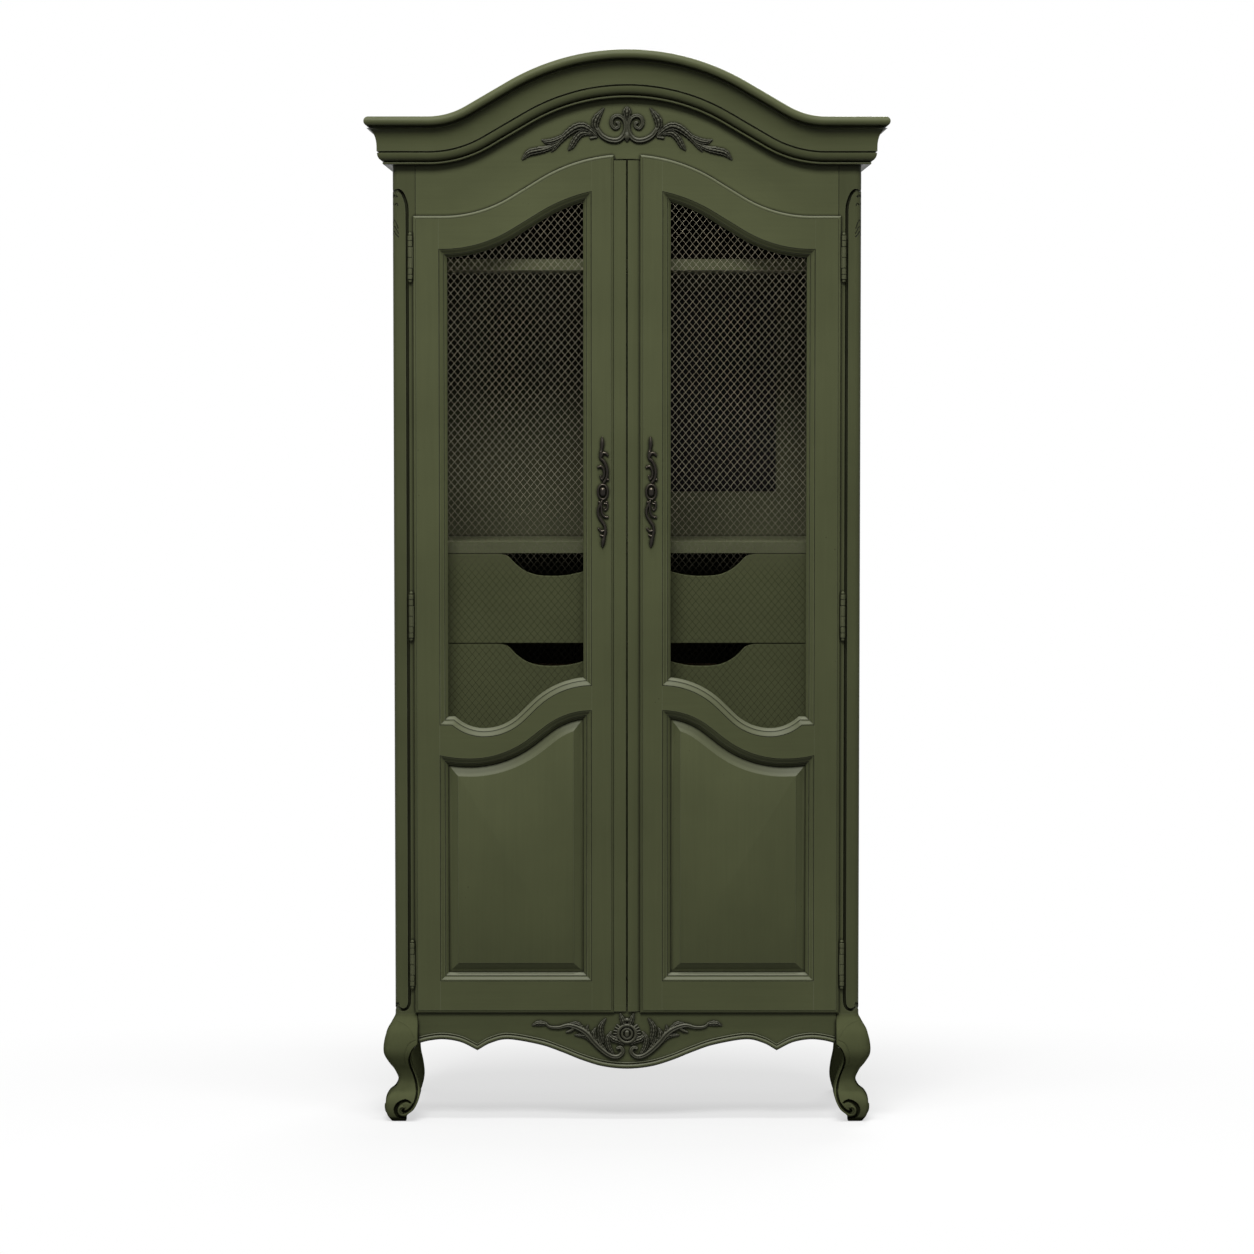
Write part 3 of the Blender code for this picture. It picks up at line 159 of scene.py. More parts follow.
@dataclass
class Shape:
    """Vertices and faces of a mesh in the making."""

    verts: list[Point3] = field(default_factory=list)
    faces: list[tuple[int, ...]] = field(default_factory=list)

    def add(self, verts: Iterable[Sequence[float]], faces: Iterable[Sequence[int]]) -> "Shape":
        """Adds vertices, and faces that count from the first of them.

        Args:
            verts: Points of X, Y and Z.
            faces: Corners of each face.

        Returns:
            This shape.
        """
        base = len(self.verts)
        self.verts.extend(tuple(float(c) for c in v) for v in verts)
        self.faces.extend(tuple(int(i) + base for i in f) for f in faces)
        return self

    def join(self, other: "Shape") -> "Shape":
        """Adds another shape."""
        return self.add(other.verts, other.faces)

    def loft(self, rings: Sequence[Sequence[Point3]], looped: bool = False) -> "Shape":
        """Adds faces between closed rings of equal length.

        Args:
            rings: The rings in order.
            looped: Whether the last ring joins the first. Otherwise both ends are capped.

        Returns:
            This shape.
        """
        size, count = len(rings[0]), len(rings)
        faces: list[Sequence[int]] = []
        for r in range(count if looped else count - 1):
            near, far = r * size, (r + 1) % count * size
            for i in range(size):
                j = (i + 1) % size
                faces.append((near + i, near + j, far + j, far + i))
        if not looped:
            faces.append(range(size))
            faces.append(range((count - 1) * size, count * size))
        return self.add([p for ring in rings for p in ring], faces)

    def slab(self, outline: Sequence[Point2], near: float, far: float, side: int = 1) -> "Shape":
        """Adds a board of that outline between two depths, mirrored where side is -1."""
        return self.loft([[(side * u, y, z) for u, z in outline] for y in (near, far)])

    def border(self, loop: Outline, section: Sequence[Point2], side: int, looped: bool = False) -> "Shape":
        """Adds a piece whose section, as (distance into the opening, depth), follows an outline."""
        return self.loft([[(side * u, y, z) for u, z in loop(into)] for into, y in section], looped)

    def turn(self, profile: Sequence[Point2], centre: Point3, sides: int) -> "Shape":
        """Adds a piece turned about the vertical through centre, from (radius, height) points.

        Args:
            profile: Points of (radius, height).
            centre: Where height 0 lies.
            sides: Sides of the round.

        Returns:
            This shape.
        """
        x, y, base = centre
        around = [(cos(a), sin(a)) for a in turns(sides)]
        return self.loft([[(x + r * c, y + r * s, base + z) for c, s in around] for r, z in profile])

    def block(self, low: Point3, high: Point3) -> "Shape":
        """Adds a rectangular block between two corners.

        Args:
            low: One corner.
            high: The opposite corner.

        Returns:
            This shape.
        """
        x, y, z = ((min(a, b), max(a, b)) for a, b in zip(low, high))
        rings = [[(x[0], y[0], h), (x[1], y[0], h), (x[1], y[1], h), (x[0], y[1], h)] for h in z]
        return self.loft(rings)

    def tube(self, path: np.ndarray, radii: np.ndarray | float, sides: int = 10) -> "Shape":
        """Adds a round tube along a path.

        Args:
            path: Rows of X, Y and Z.
            radii: One radius, or one for each row.
            sides: Sides of the tube.

        Returns:
            This shape.
        """
        radii = np.broadcast_to(radii, len(path))
        along = np.gradient(path, axis=0)
        along /= np.linalg.norm(along, axis=1)[:, None]
        normal = np.cross(along[0], (0.0, 1.0, 0.0))
        if np.linalg.norm(normal) < 0.1:
            normal = np.cross(along[0], (0.0, 0.0, 1.0))
        angles = turns(sides)
        rings = []
        for point, direction, radius in zip(path, along, radii):
            normal = normal - direction * normal.dot(direction)
            normal /= np.linalg.norm(normal)
            other = np.cross(direction, normal)
            rings.append(point + radius * (np.outer(np.cos(angles), normal) + np.outer(np.sin(angles), other)))
        return self.loft(rings)

    def object(self, name: str) -> bpy.types.Object:
        """A linked mesh object whose faces point outwards.

        Args:
            name: Its name.

        Returns:
            The object.
        """
        mesh = bpy.data.meshes.new(name)
        mesh.from_pydata(self.verts, [], self.faces)
        bm = bmesh.new()
        bm.from_mesh(mesh)
        bmesh.ops.recalc_face_normals(bm, faces=bm.faces)
        bm.to_mesh(mesh)
        bm.free()
        return linked(name, mesh)


def linked(name: str, data: bpy.types.ID) -> bpy.types.Object:
    """A new object in the scene.

    Args:
        name: Its name.
        data: Its mesh, light or camera.

    Returns:
        The object.
    """
    made = bpy.data.objects.new(name, data)
    bpy.context.scene.collection.objects.link(made)
    return made


def cut(made: bpy.types.Object, tools: Sequence[bpy.types.Object]) -> bpy.types.Object:
    """Cuts a piece with tools, which are then removed.

    Args:
        made: The piece.
        tools: What is taken out of it.

    Returns:
        The piece.
    """
    for tool in tools:
        modifier = made.modifiers.new(tool.name, "BOOLEAN")
        modifier.operation = "DIFFERENCE"
        modifier.use_self = True
        modifier.object = tool
    graph = bpy.context.evaluated_depsgraph_get()
    mesh = bpy.data.meshes.new_from_object(made.evaluated_get(graph))
    made.modifiers.clear()
    made.data = mesh
    for tool in tools:
        bpy.data.objects.remove(tool)
    return made


def soften(made: bpy.types.Object, width: float) -> bpy.types.Object:
    """Rounds a piece's edges with a Bevel modifier, which leaves its own mesh as it is.

    Args:
        made: The piece.
        width: Width of the rounding.

    Returns:
        The piece.
    """
    bevel = made.modifiers.new("eased_edges", "BEVEL")
    bevel.width = width
    bevel.segments = 2
    bevel.limit_method = "ANGLE"
    bevel.angle_limit = radians(40)
    bevel.harden_normals = True
    return made


def settle(
    made: bpy.types.Object,
    body: str,
    material: bpy.types.Material,
    replaced: Sequence[str] = (),
    sharp: float = 35.0,
) -> bpy.types.Object:
    """Shades, paints and hangs a new piece on its body.

    Args:
        made: The piece, in place.
        body: The body that it moves with.
        material: Its finish.
        replaced: Nodes that it stands for.
        sharp: Corners above this angle stay sharp.

    Returns:
        The piece.
    """
    made.data.materials.clear()
    made.data.materials.append(material)
    made.data.shade_smooth()
    made.data.set_sharp_from_angle(angle=radians(sharp))
    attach(made, body)
    if replaced:
        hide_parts(*replaced)
    LOG.info("%s: %d faces on %s", made.name, len(made.data.polygons), body)
    return made


# ---- shader groups ----


class Graph:
    """Short calls for building a node tree."""

    def __init__(self, tree: bpy.types.NodeTree) -> None:
        """Starts on an empty tree."""
        self.tree = tree
        tree.nodes.clear()

    def add(self, kind: str, **values: object) -> bpy.types.Node:
        """Adds a node.

        Args:
            kind: Its type without the ShaderNode prefix.
            values: Properties, or sockets by name, with a value or a socket to link.

        Returns:
            The node.
        """
        node = self.tree.nodes.new(kind if kind.startswith("NodeGroup") else "ShaderNode" + kind)
        for name, value in values.items():
            socket = next((s for s in node.inputs if s.name.replace(" ", "_") == name and s.enabled), None)
            if socket is None:
                setattr(node, name, value)
            else:
                self.feed(value, socket)
        return node

    def feed(self, value: object, socket: bpy.types.NodeSocket) -> None:
        """Links a socket or sets a value.

        Args:
            value: A socket or a constant.
            socket: The input.
        """
        if isinstance(value, bpy.types.NodeSocket):
            self.tree.links.new(value, socket)
        elif isinstance(value, tuple) and len(value) == 3 and socket.type == "RGBA":
            socket.default_value = (*value, 1.0)
        else:
            socket.default_value = value

    def math(self, operation: str, a: object, b: object = 0.0, clamp: bool = False) -> bpy.types.NodeSocket:
        """The result of a Math node.

        Args:
            operation: What it does.
            a: First value.
            b: Second value.
            clamp: Whether the result stays between 0 and 1.

        Returns:
            Its output.
        """
        node = self.add("Math", operation=operation, use_clamp=clamp)
        self.feed(a, node.inputs[0])
        self.feed(b, node.inputs[1])
        return node.outputs[0]

    def mix(self, factor: object, a: object, b: object) -> bpy.types.NodeSocket:
        """The colour of a Mix node.

        Args:
            factor: Share of the second colour.
            a: First colour.
            b: Second colour.

        Returns:
            Its output.
        """
        node = self.add("Mix", data_type="RGBA")
        for value, socket in ((factor, 0), (a, 6), (b, 7)):
            self.feed(value, node.inputs[socket])
        return node.outputs[2]

    def span(self, value: object, low: float, high: float, out_low: float, out_high: float) -> bpy.types.NodeSocket:
        """A value moved from one range to another and kept inside it.

        Args:
            value: The value.
            low: Start of the first range.
            high: End of the first range.
            out_low: Start of the second range.
            out_high: End of the second range.

        Returns:
            The moved value.
        """
        node = self.add("MapRange")
        for socket, number in zip(node.inputs, (value, low, high, out_low, out_high)):
            self.feed(number, socket)
        return node.outputs[0]


    def group(self, tree: bpy.types.NodeTree, **values: object) -> bpy.types.bpy_prop_collection:
        """The outputs of a shared group, by name, with its inputs set."""
        return self.add("Group", node_tree=tree, **values).outputs

    def height(self) -> bpy.types.NodeSocket:
        """Height of the shaded place above the floor."""
        return self.add("SeparateXYZ", Vector=self.add("TexCoord").outputs["Object"]).outputs["Z"]

    def surface(self, tone: object, rough: object, height: object, strength: float, deep: float) -> bpy.types.Node:
        """A Principled shader with a colour, a roughness and a fine relief of that strength and depth."""
        bump = self.add("Bump", Strength=strength, Distance=deep, Height=height)
        return self.add("BsdfPrincipled", Base_Color=tone, Roughness=rough, Normal=bump.outputs["Normal"])


class Groups:
    """Effects that several finishes share, each built once."""

    @staticmethod
    def new(name: str, inputs: dict[str, str], outputs: Sequence[str]) -> tuple[Graph, bpy.types.Node, bpy.types.Node]:
        """An empty group with its sockets.

        Args:
            name: The group's name.
            inputs: Socket types by name.
            outputs: Names of its values.

        Returns:
            The group's graph, its input node and its output node.
        """
        tree = bpy.data.node_groups.new(name, "ShaderNodeTree")
        for way, sockets in (("INPUT", inputs), ("OUTPUT", dict.fromkeys(outputs, "Float"))):
            for label, kind in sockets.items():
                tree.interface.new_socket(name=label, in_out=way, socket_type="NodeSocket" + kind)
        graph = Graph(tree)
        return graph, graph.add("NodeGroupInput"), graph.add("NodeGroupOutput")

    @staticmethod
    def wear() -> bpy.types.NodeTree:
        """Masks of recesses, for dark wax and painted shade, of edges, for rubbed wear and painted highlights, of
        ledges that face up, for painted top light, and of undersides, for painted shade.

        Returns:
            The group.
        """
        if "recess_and_edge" in bpy.data.node_groups:
            return bpy.data.node_groups["recess_and_edge"]
        g, given, out = Groups.new(
            "recess_and_edge",
            {"Reach": "Float", "Edge": "Float"},
            ("Recess", "Edge_Rub_And_Highlight", "Ledge", "Under"),
        )
        # Painted shade: ambient occlusion marks the recesses to darken, together with real dark wax.
        shade = g.add("AmbientOcclusion", samples=8, Distance=given.outputs["Reach"])
        recess = g.span(shade.outputs["AO"], 0.62, 0.95, 1.0, 0.0)
        # Painted highlight: the eased normal marks convex edges to lighten, together with rubbed wear.
        eased = g.add("Bevel", samples=4, Radius=given.outputs["Edge"])
        dot = g.add("VectorMath", operation="DOT_PRODUCT")
        g.feed(eased.outputs["Normal"], dot.inputs[0])
        facing = g.add("NewGeometry").outputs["Normal"]
        g.feed(facing, dot.inputs[1])
        edge = g.span(dot.outputs["Value"], 0.995, 0.80, 0.0, 1.0)
        rub_and_highlight = g.math("MULTIPLY", edge, g.math("SUBTRACT", 1.0, recess), True)
        g.feed(recess, out.inputs["Recess"])
        g.feed(rub_and_highlight, out.inputs["Edge_Rub_And_Highlight"])
        # Painted light: faces turned up are marked for painted top light, faces turned down for painted shade.
        upwards = g.add("SeparateXYZ", Vector=facing).outputs["Z"]
        g.feed(g.span(upwards, 0.20, 0.75, 0.0, 1.0), out.inputs["Ledge"])
        g.feed(g.span(upwards, -0.20, -0.75, 0.0, 1.0), out.inputs["Under"])
        return g.tree

    @staticmethod
    def crests() -> bpy.types.NodeTree:
        """Mask of the crests of fine carving and casting, which the finishes use for painted highlights.

        Returns:
            The group.
        """
        if "carved_crests" in bpy.data.node_groups:
            return bpy.data.node_groups["carved_crests"]
        g, given, out = Groups.new("carved_crests", {"Low": "Float", "High": "Float"}, ("Crest",))
        mask = g.add("MapRange", From_Min=given.outputs["Low"], From_Max=given.outputs["High"])
        g.feed(g.add("NewGeometry").outputs["Pointiness"], mask.inputs["Value"])
        g.feed(mask.outputs["Result"], out.inputs["Crest"])
        return g.tree

    @staticmethod
    def brushed() -> bpy.types.NodeTree:
        """Brush marks along the timber, clouds in the coat and a few dark specks.

        Returns:
            The group.
        """
        if "brushed_coat" in bpy.data.node_groups:
            return bpy.data.node_groups["brushed_coat"]
        g, given, out = Groups.new("brushed_coat", {"Grain": "Vector"}, ("Marks", "Clouds", "Specks", "Height"))
        place = g.add("TexCoord").outputs["Object"]
        stretched = g.add("Mapping", Vector=place, Scale=given.outputs["Grain"]).outputs["Vector"]
        marks = g.add("TexNoise", Vector=stretched, Scale=1.0, Detail=4.0, Roughness=0.62).outputs["Fac"]
        clouds = g.add("TexNoise", Vector=place, Scale=4.5, Detail=4.0, Roughness=0.55).outputs["Fac"]
        dots = g.add("TexVoronoi", Vector=place, Scale=85.0).outputs["Distance"]
        where = g.add("TexNoise", Vector=place, Scale=9.0, Detail=2.0).outputs["Fac"]
        specks = g.math("MULTIPLY", g.span(dots, 0.05, 0.13, 1.0, 0.0), g.span(where, 0.62, 0.70, 0.0, 1.0))
        peel = g.add("TexNoise", Vector=place, Scale=420.0, Detail=2.0).outputs["Fac"]
        height = g.math("ADD", g.math("MULTIPLY", marks, 0.8), g.math("MULTIPLY", peel, 0.35))
        height = g.math("SUBTRACT", height, g.math("MULTIPLY", specks, 0.6))
        for name, value in (("Marks", marks), ("Clouds", clouds), ("Specks", specks), ("Height", height)):
            g.feed(value, out.inputs[name])
        return g.tree


# ---- finishes ----


class Finish:
    """What all finishes share: a name and a material that is made once."""

    name: str

    def shade(self, g: Graph) -> bpy.types.Node:
        """The shader of this finish, which each kind builds in its own way."""
        raise NotImplementedError

    def material(self) -> bpy.types.Material:
        """The material, made once.

        Returns:
            The material.
        """
        if self.name in bpy.data.materials:
            return bpy.data.materials[self.name]
        made = bpy.data.materials.new(self.name)
        made.use_nodes = True
        g = Graph(made.node_tree)
        g.add("OutputMaterial", Surface=self.shade(g).outputs["BSDF"])
        return made


@dataclass(frozen=True)
class Paint(Finish):
    """Satin paint with dark wax and painted shade in the recesses, a lighter rub with painted highlights on the edges,
    and where asked painted top light, painted shade underneath and painted highlights on crests.
    """

    name: str
    coat: Colour = (0.075, 0.083, 0.039)
    # Dark colour: real dark wax, also painted shade in recesses, under ledges and at the top of the inside back.
    wax_and_shade: Colour = (0.0045, 0.0045, 0.0025)
    # Light colour: rubbed wear on edges, also painted highlight on edges, crests and faces turned up.
    rub_and_highlight: Colour = (0.165, 0.172, 0.118)
    grain: Grain = Grain.UPRIGHT
    reach: float = 0.0065
    edge: float = 0.0016
    # Share of the painted shade and dark wax in the recesses.
    wax_and_shade_share: float = 0.95
    # Share of the painted highlight and rubbed wear on the edges.
    rub_and_highlight_share: float = 0.55
    # Painted top light: share of lightening on faces that turn up.
    painted_top_light: float = 0.0
    # Painted shade: share of darkening on faces that turn down.
    painted_under_shade: float = 0.0
    # Share of the painted highlight on crests.
    crest: float = 0.0
    # Painted shade: heights over which inward-facing surfaces darken towards the top.
    painted_shade_above: tuple[float, float] | None = None
    sheen: tuple[float, float] = (0.33, 0.44)
    gloss: float = 0.08

    def shade(self, g: Graph) -> bpy.types.Node:
        """The shader of this finish.

        Args:
            g: Graph of the material.

        Returns:
            The shader.
        """
        wear = g.group(Groups.wear(), Reach=self.reach, Edge=self.edge)
        coat = g.group(Groups.brushed(), Grain=self.grain.value)
        deep = tuple(c * 0.93 for c in self.coat)
        pale = tuple(c * 1.08 for c in self.coat)
        tone = g.mix(g.span(coat["Clouds"], 0.32, 0.68, 0.0, 1.0), deep, pale)
        tone = g.mix(g.span(coat["Marks"], 0.30, 0.72, 0.07, 0.0), tone, self.wax_and_shade)
        # Painted highlight with rubbed wear: convex edges lightened.
        rub_and_lit_edges = g.math("MULTIPLY", wear["Edge_Rub_And_Highlight"], g.span(coat["Clouds"], 0.3, 0.65, 0.3, 1.0))
        tone = g.mix(g.math("MULTIPLY", rub_and_lit_edges, self.rub_and_highlight_share), tone, self.rub_and_highlight)
        # Painted shade: surfaces facing into the hutch darker towards the top.
        if self.painted_shade_above:
            behind = g.add("SeparateXYZ", Vector=g.add("NewGeometry").outputs["Normal"]).outputs["Y"]
            inside = g.span(behind, 0.1, -0.1, 0.0, 0.92)
            dark = g.span(g.height(), *self.painted_shade_above, 0.0, 1.0)
            tone = g.mix(g.math("MULTIPLY", dark, inside), tone, self.wax_and_shade)
        # Painted highlight on the crests of the carving.
        if self.crest:
            crest = g.group(Groups.crests(), Low=0.55, High=0.68)["Crest"]
            tone = g.mix(g.math("MULTIPLY", crest, self.crest), tone, self.rub_and_highlight)
        # Painted light: faces turned up lightened and faces turned down darkened.
        if self.painted_top_light:
            tone = g.mix(g.math("MULTIPLY", wear["Ledge"], self.painted_top_light), tone, self.rub_and_highlight)
            tone = g.mix(g.math("MULTIPLY", wear["Under"], self.painted_under_shade), tone, self.wax_and_shade)
        # Painted shade with dark wax: recesses darkened from the occlusion mask.
        waxed_and_shaded = g.math("MULTIPLY", wear["Recess"], g.span(coat["Marks"], 0.25, 0.7, 1.0, 0.75))
        specks = g.math("MULTIPLY", coat["Specks"], 0.7)
        waxed_and_shaded = g.math("MAXIMUM", g.math("MULTIPLY", waxed_and_shaded, self.wax_and_shade_share), specks)
        tone = g.mix(waxed_and_shaded, tone, self.wax_and_shade)
        rough = g.span(coat["Clouds"], 0.3, 0.7, *self.sheen)
        rough = g.math("ADD", rough, g.math("MULTIPLY", wear["Recess"], 0.15), True)
        shader = g.surface(tone, rough, coat["Height"], 0.28, 0.0004)
        g.feed(self.gloss, shader.inputs["Specular IOR Level"])
        return shader


@dataclass(frozen=True)
class Metal(Finish):
    """Cast or drawn metal with a patina, rubbed bright with painted highlights on the edges, with soot in the hollows,
    and where asked painted highlights on crests and faces turned up and painted shade below.
    """

    name: str
    patina: Colour = (0.018, 0.015, 0.011)
    # Light colour: rubbed wear on edges, also painted highlights on edges, crests and faces turned up.
    rub_and_glint: Colour = (0.260, 0.220, 0.160)
    # Dark colour: soot in the hollows, also painted shade on undersides and low down.
    soot_and_shade: Colour = (0.004, 0.003, 0.003)
    reach: float = 0.004
    edge: float = 0.0012
    metallic: float = 0.75
    rough: tuple[float, float] = (0.30, 0.50)
    rim: Colour = (1.0, 1.0, 1.0)
    # Share of the painted highlight on crests.
    crest: float = 0.0
    # Share of the painted highlight on faces that turn up.
    ledge: float = 0.0
    # Painted shade: heights below which the metal darkens.
    painted_shade_below: tuple[float, float] | None = None

    def shade(self, g: Graph) -> bpy.types.Node:
        """The shader of this finish.

        Args:
            g: Graph of the material.

        Returns:
            The shader.
        """
        wear = g.group(Groups.wear(), Reach=self.reach, Edge=self.edge)
        coat = g.group(Groups.brushed(), Grain=Grain.NONE.value)
        pale = tuple(c * 1.5 for c in self.patina)
        tone = g.mix(g.span(coat["Marks"], 0.35, 0.65, 0.0, 1.0), self.patina, pale)
        # Painted highlight with rubbed wear on the edges.
        tone = g.mix(g.math("MULTIPLY", wear["Edge_Rub_And_Highlight"], 0.55), tone, self.rub_and_glint)
        tone = g.mix(g.math("MULTIPLY", wear["Recess"], 0.8), tone, self.soot_and_shade)
        # Painted highlights on crests and faces turned up, painted shade on faces turned down.
        if self.crest:
            crest = g.group(Groups.crests(), Low=0.55, High=0.70)["Crest"]
            tone = g.mix(g.math("MULTIPLY", crest, self.crest), tone, self.rub_and_glint)
            tone = g.mix(g.math("MULTIPLY", wear["Ledge"], self.ledge), tone, self.rub_and_glint)
            tone = g.mix(wear["Under"], tone, self.soot_and_shade)
        # Painted shade: darker towards the bottom.
        if self.painted_shade_below:
            tone = g.mix(g.span(g.height(), *self.painted_shade_below, 1.0, 0.0), tone, self.soot_and_shade)
        rough = g.span(coat["Marks"], 0.3, 0.7, *self.rough)
        shader = g.surface(tone, rough, coat["Height"], 0.25, 0.0003)
        g.feed(self.metallic, shader.inputs["Metallic"])
        g.feed(self.rim, shader.inputs["Specular Tint"])
        return shader


@dataclass(frozen=True)
class Timber(Finish):
    """Bare sanded timber with its rings drawn out along the grain."""

    name: str
    early: Colour = (0.30, 0.20, 0.11)
    late: Colour = (0.17, 0.10, 0.05)
    grain: Grain = Grain.LEVEL

    def shade(self, g: Graph) -> bpy.types.Node:
        """The shader of this finish.

        Args:
            g: Graph of the material.

        Returns:
            The shader.
        """
        coat = g.group(Groups.brushed(), Grain=self.grain.value)
        tone = g.mix(g.span(coat["Marks"], 0.32, 0.68, 0.0, 1.0), self.early, self.late)
        tone = g.mix(g.span(coat["Clouds"], 0.3, 0.7, 0.0, 0.35), tone, self.late)
        rough = g.span(coat["Marks"], 0.3, 0.7, 0.55, 0.72)
        return g.surface(tone, rough, coat["Height"], 0.3, 0.0004)


UPRIGHT_PAINT = Paint("olive_paint_upright", coat=(0.066, 0.073, 0.034))
# Strong painted shade with dark wax in the carved lines of the legs.
LEG_PAINT = Paint("olive_paint_leg", reach=0.011, wax_and_shade_share=1.0, rub_and_highlight_share=0.2, gloss=0.0)
# Painted top light and painted underside shade on the door members and mouldings.
STILE_PAINT = Paint("olive_paint_stile", painted_top_light=0.75, painted_under_shade=0.3)
RAIL_PAINT = Paint("olive_paint_rail", grain=Grain.LEVEL, painted_top_light=0.75, painted_under_shade=0.3)
MOULDING_PAINT = Paint("olive_paint_moulding", grain=Grain.LEVEL, painted_top_light=0.75, painted_under_shade=0.55)
LEVEL_PAINT = Paint("olive_paint_level", grain=Grain.LEVEL)
# Painted top light on the beads and painted shade under them, on a slightly darker coat as painted shade.
APRON_PAINT = Paint(
    "olive_paint_apron", coat=(0.069, 0.077, 0.036), grain=Grain.LEVEL, reach=0.0075, painted_top_light=0.8, painted_under_shade=0.8
)
CORNICE_PAINT = Paint("olive_paint_cornice", grain=Grain.LEVEL, reach=0.0045, wax_and_shade_share=0.8)
# Painted light: a lighter copy of the level paint that lifts the frieze out of the cornice's shade.
FRIEZE_PAINT = Paint("olive_paint_frieze", coat=(0.083, 0.092, 0.043), grain=Grain.LEVEL)
# Painted highlights on the crests and upper sides of the carving, painted shade under it and in its recesses, with dark
# wax.
CARVED_PAINT = Paint(
    "olive_paint_carved",
    coat=(0.056, 0.057, 0.038),
    rub_and_highlight=(0.27, 0.27, 0.21),
    grain=Grain.NONE,
    reach=0.0050,
    edge=0.0012,
    wax_and_shade_share=0.97,
    rub_and_highlight_share=0.2,
    painted_top_light=0.45,
    painted_under_shade=0.9,
    crest=0.9,
)
# Painted shade: the inside of the back darker towards the top.
BACK_PAINT = Paint(
    "shaded_back_paint",
    coat=(0.060, 0.062, 0.036),
    rub_and_highlight=(0.02, 0.02, 0.012),
    wax_and_shade_share=0.5,
    painted_shade_above=(1.18, 1.48),
    sheen=(0.5, 0.65),
    gloss=0.04,
)
SHELF_PAINT = Paint(
    "brushed_shelf_paint",
    coat=(0.088, 0.094, 0.052),
    rub_and_highlight=(0.12, 0.128, 0.08),
    grain=Grain.LEVEL,
    wax_and_shade_share=0.6,
    sheen=(0.5, 0.65),
    gloss=0.04,
)
INSIDE_PAINT = replace(SHELF_PAINT, name="brushed_inside_paint", coat=(0.072, 0.079, 0.038))
HINGE_PAINT = Paint("brushed_hinge_paint", coat=(0.080, 0.086, 0.046), grain=Grain.NONE, reach=0.005, edge=0.0009)
# Painted highlights on the wires and painted shade on the lower wires.
WIRE = Metal(
    "dull_wire",
    patina=(0.31, 0.285, 0.205),
    rub_and_glint=(0.62, 0.57, 0.45),
    soot_and_shade=(0.006, 0.0055, 0.004),
    reach=0.0012,
    edge=0.0003,
    metallic=1.0,
    rim=(0.12, 0.11, 0.09),
    painted_shade_below=(1.10, 1.30),
)
# Painted highlights on the crests and faces turned up of the pulls, with rubbed wear on the edges.
BRONZE = Metal("rubbed_bronze", patina=(0.013, 0.011, 0.008), crest=0.8, ledge=0.38, rough=(0.26, 0.42))
RAW_TIMBER = Timber("sanded_timber")
# Painted shade: a near-black finish for the board that stands in for shade inside the back.
SHADE_STAND_IN = Paint(
    "dark_board",
    coat=(0.005, 0.0045, 0.0045),
    wax_and_shade=(0.003, 0.003, 0.003),
    rub_and_highlight=(0.01, 0.009, 0.009),
    sheen=(0.5, 0.6),
    gloss=0.04,
)


# ---- carving ----


@dataclass(frozen=True)
class Stroke:
    """One carved or cast stroke: points of (across, up, radius) in millimetres."""

    points: Sequence[tuple[float, float, float]]
    section: Section = Section.ROUND
    lift: float = 0.0
    lobes: float = 9.0

    def heights(self, across: np.ndarray, up: np.ndarray) -> np.ndarray:
        """Height of the stroke above its ground, in millimetres, and -1 beside it.

        Args:
            across: Places of the grid, left to right.
            up: Places of the grid, upwards.

        Returns:
            One height for each place.
        """
        line = spline(self.points, 10)
        run = np.concatenate([[0.0], np.cumsum(np.hypot(*np.diff(line[:, :2], axis=0).T))])
        best = np.full(across.shape, 9.0)
        place, turn, wide = np.zeros_like(best), np.zeros_like(best), np.ones_like(best)
        for (ax, az, ar), (bx, bz, br), start in zip(line, line[1:], run):
            dx, dz = bx - ax, bz - az
            length = max(np.hypot(dx, dz), 1e-6)
            t = np.clip(((across - ax) * dx + (up - az) * dz) / length**2, 0.0, 1.0)
            off_x, off_z = across - ax - t * dx, up - az - t * dz
            radius = ar + (br - ar) * t
            if self.section is Section.LEAF:
                radius = radius * (0.86 + 0.20 * np.abs(np.sin(pi * (start + t * length) / self.lobes)))
            near = np.hypot(off_x, off_z) / radius
            closer = near < best
            best = np.where(closer, near, best)
            place = np.where(closer, start + t * length, place)
            turn = np.where(closer, np.sign(off_x * dz - off_z * dx), turn)
            wide = np.where(closer, radius, wide)
        q = np.clip(best, 0.0, 1.0)
        dome = np.sqrt(1.0 - q**2)
        if self.section is Section.ROUND:
            height = 0.95 * wide * dome
        elif self.section is Section.FLUTED:
            height = wide * (0.92 * dome - 0.42 * np.exp(-(((q * turn + 0.15) / 0.33) ** 2)))
        else:
            veins = np.cos(2 * pi * (place / self.lobes * 2.0 - 1.1 * q))
            height = wide * (0.80 * dome - 0.44 * np.exp(-(((q - 0.45) / 0.18) ** 2)) + 0.05 * veins * q)
        return np.where(best < 1.0, self.lift + 0.9 + np.maximum(height, 0.0), -1.0)


